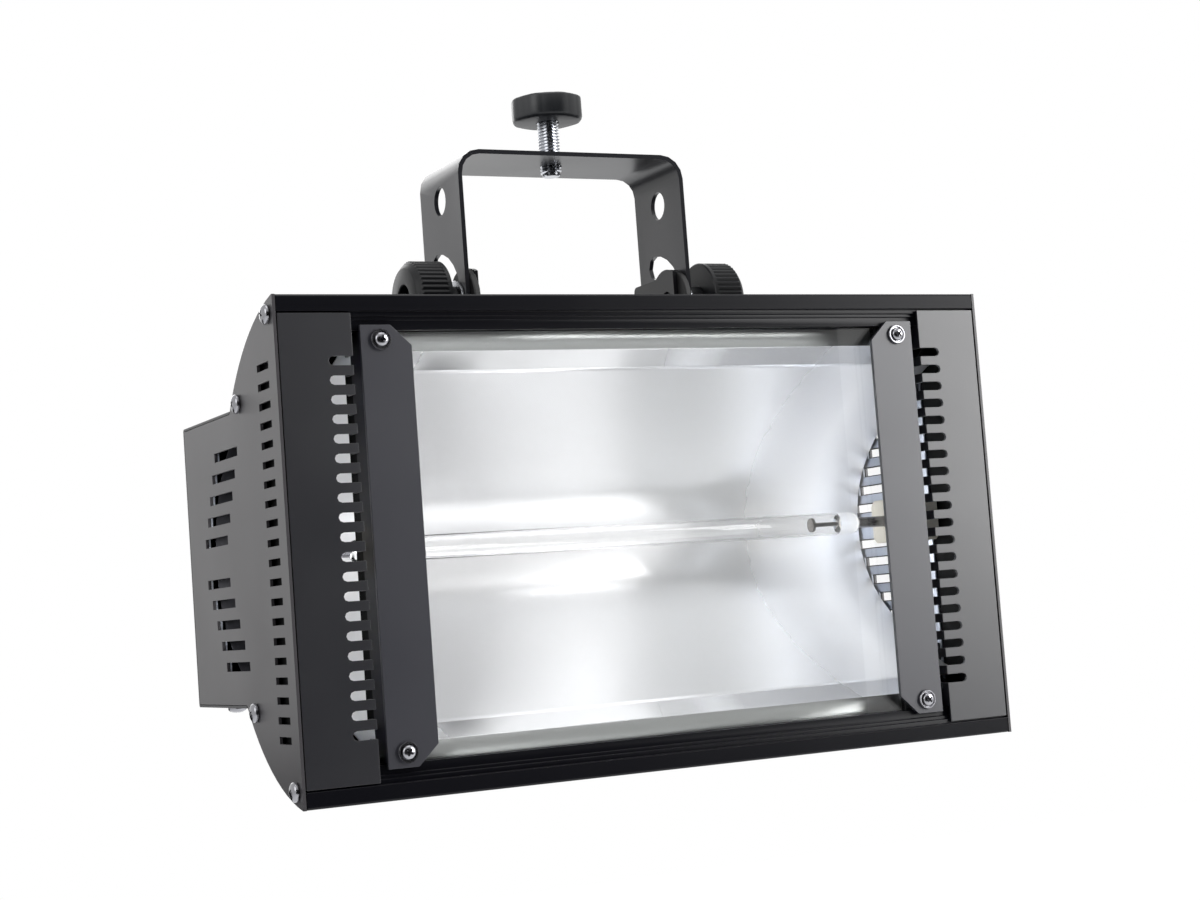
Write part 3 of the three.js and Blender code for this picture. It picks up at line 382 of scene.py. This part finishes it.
# The clamp plates hold the front in place. They are 2 mm steel with chamfered inner corners,
# coated a shade lighter than the combs, and left as bare zinc sheet where they face the lamp.
plate_coat = coat("clamp_plate_powder_coat", "2c2c33", 0.36, mottle="25252b", shine=0.75)
for side, sign in sides:
    plate = dress(f"clamp_plate_{side}", plate_coat, 0.0003)
    lined(plate, bare_sheet, (0, 1, 0))
    bar = dress(f"glass_bar_{side}", black_coat, 0.0002)
    lined(bar, bare_sheet, (0, 1, 0))


def turn(profile, steps=48):
    """A turned solid around Z from [radius, height] pairs that start and end on the axis."""
    bm = bmesh.new()
    points = [bm.verts.new((radius, 0, height)) for radius, height in profile]
    edges = [bm.edges.new(pair) for pair in zip(points, points[1:])]
    bmesh.ops.spin(
        bm,
        geom=points + edges,
        cent=(0, 0, 0),
        axis=(0, 0, 1),
        angle=math.tau,
        steps=steps,
        use_merge=True,
    )
    bmesh.ops.remove_doubles(bm, verts=bm.verts, dist=same_point / 2)
    bmesh.ops.recalc_face_normals(bm, faces=bm.faces)
    return bm


def mesh_of(bm, name, finish, smooth=40):
    """A smooth mesh with one finish, whose corners sharper than the angle stay sharp."""
    mesh = bpy.data.meshes.new(name)
    bm.to_mesh(mesh)
    bm.free()
    mesh.shade_smooth()
    mesh.set_sharp_from_angle(angle=math.radians(smooth))
    mesh.materials.append(finish)
    return mesh


def stand(mesh, name, centre, direction, node, spin=0.0):
    """A mesh drawn upright is turned to a direction and moved to its place on a body."""
    copy = mesh.copy()
    copy.name = name
    turned = Vector((0, 0, 1)).rotation_difference(Vector(direction)).to_matrix().to_4x4()
    copy.transform(Matrix.Translation(centre) @ turned @ Matrix.Rotation(spin, 4, "Z"))
    piece = add_object(name, copy)
    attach(piece, frame["nodes"][node]["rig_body"])
    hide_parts(node)
    return piece


def recessed(bm, top, span, width, deep, name, finish):
    """Cuts a cross recess, tapered towards its floor, in the top of a turned head."""
    floor_share = 0.55
    head = add_object(name + "_blank", mesh_of(bm, name + "_blank", finish))
    cutter = bmesh.new()
    for along, over in ((span, width), (width, span)):
        made = bmesh.ops.create_cube(cutter, size=1.0)["verts"]
        bmesh.ops.scale(cutter, vec=(along, over, deep * 2), verts=made)
        low = [v for v in made if v.co.z < 0]
        bmesh.ops.scale(cutter, vec=(floor_share, floor_share, 1), verts=low)
        bmesh.ops.translate(cutter, vec=(0, 0, top), verts=made)
    cut_mesh = bpy.data.meshes.new(name + "_cut")
    cutter.to_mesh(cut_mesh)
    cutter.free()
    cut = add_object(name + "_cut", cut_mesh)
    boolean = head.modifiers.new("recess", "BOOLEAN")
    boolean.object = cut
    boolean.solver = "EXACT"
    boolean.use_self = True
    bpy.context.view_layer.update()
    shaped = head.evaluated_get(bpy.context.evaluated_depsgraph_get())
    result = bpy.data.meshes.new_from_object(shaped)
    result.name = name
    bpy.data.objects.remove(head)
    bpy.data.objects.remove(cut)
    result.materials.clear()
    result.materials.append(finish)
    result.set_sharp_from_angle(angle=math.radians(35))
    return result


def dome(radius, foot, rise, angles):
    """The rounded top of a head as [radius, height] pairs, from its rim to the axis."""
    turns = [math.radians(angle) for angle in angles]
    curve = [(radius * math.cos(a), foot + rise * math.sin(a)) for a in turns]
    return curve + [(0, foot + rise)]


# The screws are nickel-plated pan heads with a cross recess. The clamp screws have a pressed-on
# washer, which shows as a bright ring around the head.
nickel = metal("nickel_plate", "8e8e92", 0.22, 0.06, 0.15)
shank = 0.00195
shank_tip = 0.7 * shank
pan = 0.00475
pan_rim = 0.0011
pan_profile = [(0, -0.0105), (shank_tip, -0.0105), (shank, -0.0095), (shank, 0)]
pan_profile += [(pan - 0.0003, 0), (pan, 0.0003), (pan, pan_rim)]
pan_profile += dome(pan, pan_rim, 0.0021, (15, 30, 45, 60, 75))
pan_screw = recessed(
    turn(pan_profile),
    top=0.0033,
    span=0.0052,
    width=0.0011,
    deep=0.0022,
    name="pan_screw",
    finish=nickel,
)
ring = 0.00515
cap = 0.0034
cap_rim = 0.0017
clamp_profile = [(0, -0.014), (shank_tip, -0.014), (shank, -0.013), (shank, 0)]
clamp_profile += [(ring - 0.0002, 0), (ring, 0.0002), (ring, 0.0007)]
clamp_profile += [(ring - 0.0003, 0.0012), (ring - 0.0009, 0.0012), (ring - 0.0011, 0.0004)]
clamp_profile += [(cap + 0.0001, 0.0004), (cap, 0.0008), (cap, cap_rim)]
clamp_profile += dome(cap, cap_rim, 0.0013, (20, 40, 60, 80))
clamp_screw = recessed(
    turn(clamp_profile),
    top=0.0032,
    span=0.0052,
    width=0.0013,
    deep=0.0022,
    name="clamp_screw",
    finish=nickel,
)
head_height = 0.0032


def seat_of(node, axis, sign):
    """The middle of a screw on the face under its head."""
    low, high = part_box(node)
    middle = (low + high) / 2
    middle[axis] = (high[axis] - head_height) if sign > 0 else (low[axis] + head_height)
    return middle


def fasten(screw, node, axis, sign, spin):
    """Puts a screw in its seat, its head looking along an axis."""
    direction = [0, 0, 0]
    direction[axis] = sign
    seat = seat_of(node, axis, sign)
    stand(screw, node + "_head", seat, direction, node, spin)


screw_turn = 0
for side, sign in sides:
    for corner in ("upper", "lower"):
        for spot in ("front", "rear"):
            screw_turn += 1.1
            fasten(pan_screw, f"side_screw_{side}_{spot}_{corner}", 0, sign, screw_turn)
        screw_turn += 0.7
        fasten(clamp_screw, f"clamp_screw_{side}_{corner}", 1, -1, screw_turn)
    fasten(pan_screw, f"cover_screw_{side}", 2, -1, 0.4)
    fasten(pan_screw, f"bracket_screw_{side}", 2, 1, 1.2)

# The front glass is a clear toughened sheet with ground edges, held all round in a black rubber
# channel. Shadows and soft light pass straight through it.
clear_glass, tree = node_material("toughened_glass")
waves = noise(tree, own_place(tree), 6.0, 1.0)
pane = glassy(tree, 1.5, waves, 0.02, 0.001)
path = add_node(tree, "ShaderNodeLightPath").outputs
passing = larger(tree, path["Is Shadow Ray"], path["Is Diffuse Ray"])
through = add_node(tree, "ShaderNodeBsdfTransparent", {"Color": linear("f7f8f8")})
show(tree, mix(tree, passing, pane, through))
dress("front_glass", clear_glass, 0.0003)
rubber = coat("black_rubber", "101011", 0.62, peel=0.0006, depth=0.2, mottle="080808")
dress("glass_gasket", rubber, 0.0001)

# The reflector is one sheet of bright-rolled aluminium, folded to a flat lip at the top and
# bottom and sprung into a deep trough between them. Its inside is bright, with faint rolling
# lines along its length and duller towards its ends, and its far left end is painted near-black
# as painted shade, so that the inside looks dark through the openings at that end. Its outside is
# painted black.
bright_sheet, tree = node_material("bright_rolled_aluminium")
place = own_place(tree)
stretch = add_node(
    tree, "ShaderNodeMapping", {"Scale": (1.5, 120.0, 120.0)}, {"Vector": place}
)
rolling = noise(tree, stretch.outputs[0], 1.0)
gloss = remap(tree, rolling, {"To Min": 0.2, "To Max": 0.23})
along = add_node(tree, "ShaderNodeSeparateXYZ", {}, {0: place}).outputs[0]
from_middle = add_node(tree, "ShaderNodeMath", {"operation": "ABSOLUTE"}, {0: along})
# Painted shade: the far left end of the sheet turns near-black.
left_end_painted_shade = remap(tree, along, {"From Min": -0.1835, "From Max": -0.1865})
dull = remap(
    tree, from_middle.outputs[0], {"From Min": 0.11, "From Max": 0.165, "To Max": 0.36}
)
rough = add_node(tree, "ShaderNodeMath", {"operation": "ADD"}, {0: gloss, 1: dull})
shader = add_node(
    tree,
    "ShaderNodeBsdfPrincipled",
    {"Metallic": 0.7},
    {"Base Color": blend(tree, left_end_painted_shade, "ededee", "0c0c10"), "Roughness": rough.outputs[0]},
)
show(tree, shader)

trough_low, trough_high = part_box("reflector")
lip_y = trough_low.y
lip_top = (trough_high.z - trough_low.z) / 2
middle_z = (trough_high.z + trough_low.z) / 2
half_length = trough_high.x
sheet = 0.0008
lip_foot = 0.0945
depth = trough_high.y - trough_low.y - sheet
fullness = 2.3
notch_x = 0.1618
notch_y = lip_y + 0.018
profile = [(lip_y, middle_z + lip_top)]
steps = 72
for i in range(steps + 1):
    z = lip_foot * math.cos(math.pi * i / steps)
    profile.append((lip_y + depth * (1 - (abs(z) / lip_foot) ** fullness), middle_z + z))
profile.append((lip_y, middle_z - lip_top))


def sweep(bm, edges, way):
    """Draws edges out along a way and gives the edges at its end."""
    swept = bmesh.ops.extrude_edge_only(bm, edges=edges)["geom"]
    ends = [v for v in swept if isinstance(v, bmesh.types.BMVert)]
    bmesh.ops.translate(bm, vec=way, verts=ends)
    return [e for e in swept if isinstance(e, bmesh.types.BMEdge)]


bm = bmesh.new()
points = [bm.verts.new((-half_length, y, z)) for y, z in profile]
edges = [bm.edges.new(pair) for pair in zip(points, points[1:])]
for reach in (half_length - notch_x, 2 * notch_x, half_length - notch_x):
    edges = sweep(bm, edges, (reach, 0, 0))
whole = bm.verts[:] + bm.edges[:] + bm.faces[:]
bmesh.ops.bisect_plane(bm, geom=whole, plane_co=(0, notch_y, 0), plane_no=(0, 1, 0))
middles = [(face, face.calc_center_median()) for face in bm.faces]
notches = [face for face, spot in middles if abs(spot.x) > notch_x and spot.y < notch_y]
bmesh.ops.delete(bm, geom=notches, context="FACES")
bmesh.ops.recalc_face_normals(bm, faces=bm.faces)
deepest = max(bm.faces, key=lambda f: f.calc_center_median().y)
if deepest.normal.y > 0:
    bmesh.ops.reverse_faces(bm, faces=bm.faces)
trough_mesh = mesh_of(bm, "reflector_trough", bright_sheet, 25)
trough = add_object("reflector_trough", trough_mesh)
thickness = trough.modifiers.new("sheet", "SOLIDIFY")
thickness.thickness = sheet
thickness.offset = -1
thickness.use_even_offset = True
thickness.material_offset = 1
trough.data.materials.append(black_coat)
brushed_lip = metal("brushed_lip", "858786", 0.32, 0.06, 0.1)
trough.data.materials.append(brushed_lip)
for face in trough.data.polygons:
    if abs(face.normal.y) > 0.99 and abs(face.center.z - middle_z) > lip_foot:
        face.material_index = 2
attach(trough, "housing")
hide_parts("reflector")
end_bright = metal("bright_end_sheet", "c3c8d2", 0.3, 0.03, 0.05)
for side, sign in sides:
    end_sheet = dress(f"end_reflector_{side}", end_bright, 0.0001)
    # Painted shade: the face of each end sheet towards its side plate is flat black.
    lined(end_sheet, painted_shade_black, (sign, 0, 0))


def folded(name, bent, reach, finish):
    """A strip of thin sheet, folded along the height of the housing."""
    bm = bmesh.new()
    points = [bm.verts.new((x, y, middle_z - reach)) for x, y in bent]
    edges = [bm.edges.new(pair) for pair in zip(points, points[1:])]
    sweep(bm, edges, (0, 0, 2 * reach))
    bmesh.ops.recalc_face_normals(bm, faces=bm.faces)
    bmesh.ops.solidify(bm, geom=bm.faces[:], thickness=0.0006)
    bmesh.ops.recalc_face_normals(bm, faces=bm.faces)
    piece = add_object(name, mesh_of(bm, name, finish))
    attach(piece, "housing")
    return piece


# A folded strip behind each glass bar, a black card inside each end of the box and a black strip
# behind each column of vents are dark sheets put in as painted shade, so that the comb slots
# and the vents look dark.
strip_gap = 0.0008
strip_deep = 0.0105
strip_foot = 0.006
strip_reach = 0.086
card_x = 0.185
card_foot = 0.01
card_front = 0.0262
card_back = 0.0535
card_reach = 0.064
screen_reach = 0.097
low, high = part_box("glass_bar_right")
out, back = high.x - strip_gap, high.y + strip_gap
shade_bend = ((out - strip_foot, back), (out, back), (out, back + strip_deep))
card_bend = ((card_x - card_foot, card_front), (card_x, card_front), (card_x, card_back))
screen_bend = ((0.199, -0.1015), (0.1974, -0.1), (0.1974, -0.069))
for side, sign in sides:
    shade, card, screen = (
        [(sign * x, y) for x, y in bend] for bend in (shade_bend, card_bend, screen_bend)
    )
    strip = folded(f"shade_strip_{side}", shade, strip_reach, bare_sheet)
    lined(strip, painted_shade_black, (sign, 0, 0))
    vent_card = folded(f"vent_card_{side}", card, card_reach, painted_shade_black)
    vent_screen = folded(f"vent_screen_{side}", screen, screen_reach, painted_shade_black)

# The flash tube is a straight quartz tube with a tungsten electrode near each end and a nickel
# pin at each end. It plugs into two steatite holders.
quartz, tree = node_material("quartz")
show(tree, glassy(tree, 1.46, noise(tree, own_place(tree), 40.0), 0.05, 0.0005))
low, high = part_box("flash_tube")
tube_middle = (low + high) / 2
tube_half = 0.150
tube_outer = 0.00625
tube_inner = 0.005
bore_half = tube_half - 0.012
tungsten = metal("tungsten", "8d8a86", 0.4, 0.1, 0.2)
quartz_profile = [(0, -tube_half), (0.003, -tube_half)]
quartz_profile += [(tube_outer - 0.001, 0.002 - tube_half), (tube_outer, 0.006 - tube_half)]
quartz_profile += [(radius, -height) for radius, height in reversed(quartz_profile)]
quartz_mesh = mesh_of(turn(quartz_profile, 40), "quartz_tube", quartz, 50)
stand(quartz_mesh, "flash_tube_quartz", tube_middle, (1, 0, 0), "flash_tube")
bore_profile = [(0, -bore_half), (tube_inner, 0.002 - bore_half)]
bore_profile += [(tube_inner, bore_half - 0.002), (0, bore_half)]
bore = turn(bore_profile, 40)
bmesh.ops.reverse_faces(bore, faces=bore.faces)
bore_mesh = mesh_of(bore, "quartz_bore", quartz, 50)
stand(bore_mesh, "flash_tube_bore", tube_middle, (1, 0, 0), "flash_tube")
pin_profile = [(0, 0), (0.003, 0), (0.003, 0.0255), (0.0022, 0.026), (0, 0.026)]
rod_profile = [(0, 0), (0.0036, 0.0003), (0.0038, 0.0012), (0.0036, 0.0022)]
rod_profile += [(0.0011, 0.003), (0.0011, 0.018), (0, 0.018)]
rod_foot = tube_half - 0.032
for side, sign in sides:
    for profile, name, part, finish, foot, slot in (
        (pin_profile, "tube_pin", "pin", nickel, tube_half, "nickel_steel"),
        (rod_profile, "tube_rod", "electrode", tungsten, rod_foot, "zinc_steel"),
    ):
        mesh = mesh_of(turn(profile, 24), name, finish)
        spot = tube_middle + Vector((sign * foot, 0, 0))
        stand(mesh, f"flash_tube_{part}_{side}", spot, (sign, 0, 0), "flash_tube")
steatite = coat("steatite", "dcd7cb", 0.55, peel=0.0005, depth=0.25, mottle="c9c3b4")
for side, sign in sides:
    dress(f"lamp_holder_{side}", steatite, 0.0006)

# The yoke is one strap of 2.4 mm steel bent to a U, with a round hole and an arc slot in each
# leg. Its coat is satin, and the bracket that carries the housing has a duller one.
strap_coat = coat("yoke_powder_coat", "313135", 0.28, mottle="29292c", shine=0.35)
dress("yoke_strap", strap_coat, 0.0003)
bracket_coat = coat("bracket_powder_coat", "151518", 0.42, mottle="0f0f11", shine=0.25)
dress("pivot_bracket", bracket_coat, 0.0003)

# The pivots, studs and washers are bright zinc-plated steel, and a black fibre disc on each
# side lets the yoke slip smoothly when the knobs are loosened.
zinc = metal("bright_zinc", "b9bbc0", 0.2, 0.06, 0.1)
for side, sign in sides:
    for part in ("pivot_standoff", "pivot_screw", "clamp_washer"):
        dress(f"{part}_{side}", zinc, 0.0002)
    dress(f"friction_disc_{side}", rubber, 0.0003)


def threaded(length, radius, pitch, crest, steps=28):
    """A rod with chamfered ends and a thread run over it from end to end."""
    root = radius - crest
    chamfer = 0.0005
    core = [(0, 0), (root - chamfer, 0), (root, chamfer), (root, length - chamfer)]
    core += [(root - chamfer, length), (0, length)]
    bm = turn(core, steps)
    ridge = bmesh.new()
    start = 0.0006
    turns = int((length - 2 * start - pitch) / pitch)
    inner = root - 0.0003
    shape = ((inner, 0.0), (radius, pitch * 0.44), (radius, pitch * 0.56), (inner, pitch))
    points = [ridge.verts.new((r, 0, start + h)) for r, h in shape]
    edges = [ridge.edges.new(pair) for pair in zip(points, points[1:] + points[:1])]
    ridge.faces.new(points)
    bmesh.ops.spin(
        ridge,
        geom=points + edges,
        cent=(0, 0, 0),
        axis=(0, 0, 1),
        dvec=(0, 0, pitch / steps),
        angle=math.tau * turns,
        steps=steps * turns,
    )
    bmesh.ops.holes_fill(ridge, edges=ridge.edges, sides=4)
    bmesh.ops.remove_doubles(ridge, verts=ridge.verts, dist=same_point / 2)
    bmesh.ops.recalc_face_normals(ridge, faces=ridge.faces)
    join = bpy.data.meshes.new("ridge")
    ridge.to_mesh(join)
    ridge.free()
    bm.from_mesh(join)
    bpy.data.meshes.remove(join)
    return bm


# The hanging bolt has a rolled M12 thread, pitch 1.75 mm, and the clamp studs have M10, pitch
# 1.5 mm.
low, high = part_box("hanging_bolt")
foot = Vector((0, 0, low.z))
bolt = threaded(high.z - low.z, 0.006, 0.00175, 0.0011)
bolt_mesh = mesh_of(bolt, "bolt_thread", zinc, 30)
stand(bolt_mesh, "hanging_bolt_thread", foot, (0, 0, 1), "hanging_bolt")
for side, sign in sides:
    node = f"clamp_stud_{side}"
    low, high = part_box(node)
    middle = (low + high) / 2
    middle.x = low.x if sign > 0 else high.x
    stud = threaded(high.x - low.x, 0.005, 0.0015, 0.0009)
    stud_mesh = mesh_of(stud, "stud_thread", zinc, 30)
    stand(stud_mesh, node + "_thread", middle, (sign, 0, 0), node)

# The knobs are moulded in black glass-filled nylon. The clamp knobs have 45 straight ribs
# between a plain collar and a stepped chamfer, and a round pocket in the end face.
nylon = coat("black_nylon", "121316", 0.42, peel=0.0005, depth=0.16, mottle="0c0d0f", shine=0.25)
low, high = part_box("clamp_knob_right")
knob_y = (low.y + high.y) / 2
knob_z = (low.z + high.z) / 2
hub_x = low.x
face_x = high.x - low.x
bore_floor = face_x - 0.007
bore_radius = 0.0053
hub = 0.008
rim = face_x - 0.0201
grip = 0.0211
valley = grip - 0.0007
rib_foot = rim + 0.0027
rib_head = rim + 0.0167
pocket = 0.0085
pocket_floor = face_x - 0.0052
knob_profile = [(0, bore_floor), (bore_radius, bore_floor), (bore_radius, 0)]
knob_profile += [(hub - 0.0004, 0), (hub, 0.0004), (hub, rim)]
knob_profile += [(grip - 0.0006, rim), (grip, rim + 0.0006), (grip, rib_foot - 0.0002)]
knob_profile += [(grip, rib_foot), (grip, rib_head)]
knob_profile += [(0.0204, rim + 0.0171), (0.0198, rim + 0.018), (0.0192, rim + 0.0182)]
knob_profile += [(0.019, rim + 0.0185), (0.0178, rim + 0.0197), (0.0172, face_x)]
knob_profile += [(pocket + 0.0005, face_x), (pocket, face_x - 0.0005)]
knob_profile += [(pocket, pocket_floor), (0, pocket_floor)]
rib_count = 45
rib_shares = (0, 0, 0, 0.35, 0.9, 1, 0.9, 0.35)
columns = rib_count * len(rib_shares)
margin = 0.0001
bm = turn(knob_profile, columns)
for vert in bm.verts:
    radius = vert.co.xy.length
    if rib_foot - margin < vert.co.z < rib_head + margin and radius > grip - 0.0005:
        column = round(math.atan2(vert.co.y, vert.co.x) / math.tau * columns)
        share = rib_shares[column % len(rib_shares)]
        vert.co.xy *= (radius - share * (grip - valley)) / radius
knob_mesh = mesh_of(bm, "clamp_knob", nylon, 40)
for side, sign in sides:
    node = f"clamp_knob_{side}"
    centre = (sign * hub_x, knob_y, knob_z)
    stand(knob_mesh, node + "_moulding", centre, (sign, 0, 0), node, 0.02)

# The hanging knob is a plain moulded disc with eight shallow lobes and a rounded lower rim.
low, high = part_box("hanging_knob")
disc = (high.x - low.x) / 2
tall = high.z - low.z
hang_profile = [(0, 0.0093), (0.0063, 0.0093), (0.0063, 0), (disc - 0.0026, 0)]
hang_profile += [(disc - 0.0012, 0.0004), (disc - 0.0004, 0.0012), (disc, 0.0024)]
hang_profile += [(disc, tall - 0.0012), (disc - 0.0002, tall - 0.0005), (disc - 0.0008, tall)]
hang_profile += [(0.008, tall - 0.0002), (0, tall - 0.0002)]
lobes = 8
lobe_depth = 0.0005
lobe_floor = -0.2
bm = turn(hang_profile, 192)
for vert in bm.verts:
    radius = vert.co.xy.length
    if radius > disc - 0.003:
        wave = math.cos(math.atan2(vert.co.y, vert.co.x) * lobes)
        dip = lobe_depth * (1 - max(wave, lobe_floor)) / (1 - lobe_floor)
        vert.co.xy *= (radius - dip) / radius
grey_nylon = coat(
    "grey_black_nylon", "1f2124", 0.4, peel=0.0005, depth=0.16, mottle="17191b"
)
hang_mesh = mesh_of(bm, "hanging_knob", grey_nylon, 40)
foot = (0, 0, low.z)
stand(hang_mesh, "hanging_knob_moulding", foot, (0, 0, 1), "hanging_knob")

# The rear panel carries two control knobs, the mains inlet with its fuse drawer and a remote
# socket, all in black plastic. The board behind them is green glass epoxy, and the two
# potentiometers on it have zinc-plated cans and bushings.
control_knobs = ("rate_knob", "intensity_knob")
fittings = ("power_inlet", "fuse_drawer", "remote_socket")
epoxy = coat("green_board", "1e5c38", 0.35, mottle="174a2c")
board = dress("circuit_board", epoxy, 0.0002)
board.data.materials.append(zinc)
can_radius = 0.0095
for name in control_knobs:
    low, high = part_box(name)
    shaft = (low + high) / 2
    for face in board.data.polygons:
        if math.hypot(face.center.x - shaft.x, face.center.z - shaft.z) < can_radius:
            face.material_index = 1
for name in control_knobs:
    dress(name, nylon, 0.0004)
for name in fittings:
    dress(name, nylon, 0.0003)

# The lamp for the sheen on the front paint is kept off the chamber, the covers, the yoke and the
# plastic, as barn doors do, and the chamber's own lamp is kept off everything else.
chamber_skins = ("end_reflector_left", "end_reflector_right", "glass_bar_left", "glass_bar_right")
chamber = ["reflector_trough"] + [name + "_skin" for name in chamber_skins]
spared_skins = ("box_cover", "top_arc_cover", "bottom_arc_cover", "yoke_strap", "pivot_bracket")
spared = [name + "_skin" for name in spared_skins + control_knobs + fittings]
spared += ["hanging_knob_moulding", "clamp_knob_left_moulding", "clamp_knob_right_moulding"]
for lamp_name, state, reached in (
    ("sheen_right", "EXCLUDE", chamber + spared),
    ("chamber_left", "INCLUDE", chamber),
):
    reach = bpy.data.collections.new("reach_of_" + lamp_name)
    for name in reached:
        reach.objects.link(bpy.data.objects[name])
    for row in reach.collection_objects:
        row.light_linking.link_state = state
    bpy.data.objects[lamp_name].light_linking.receiver_collection = reach
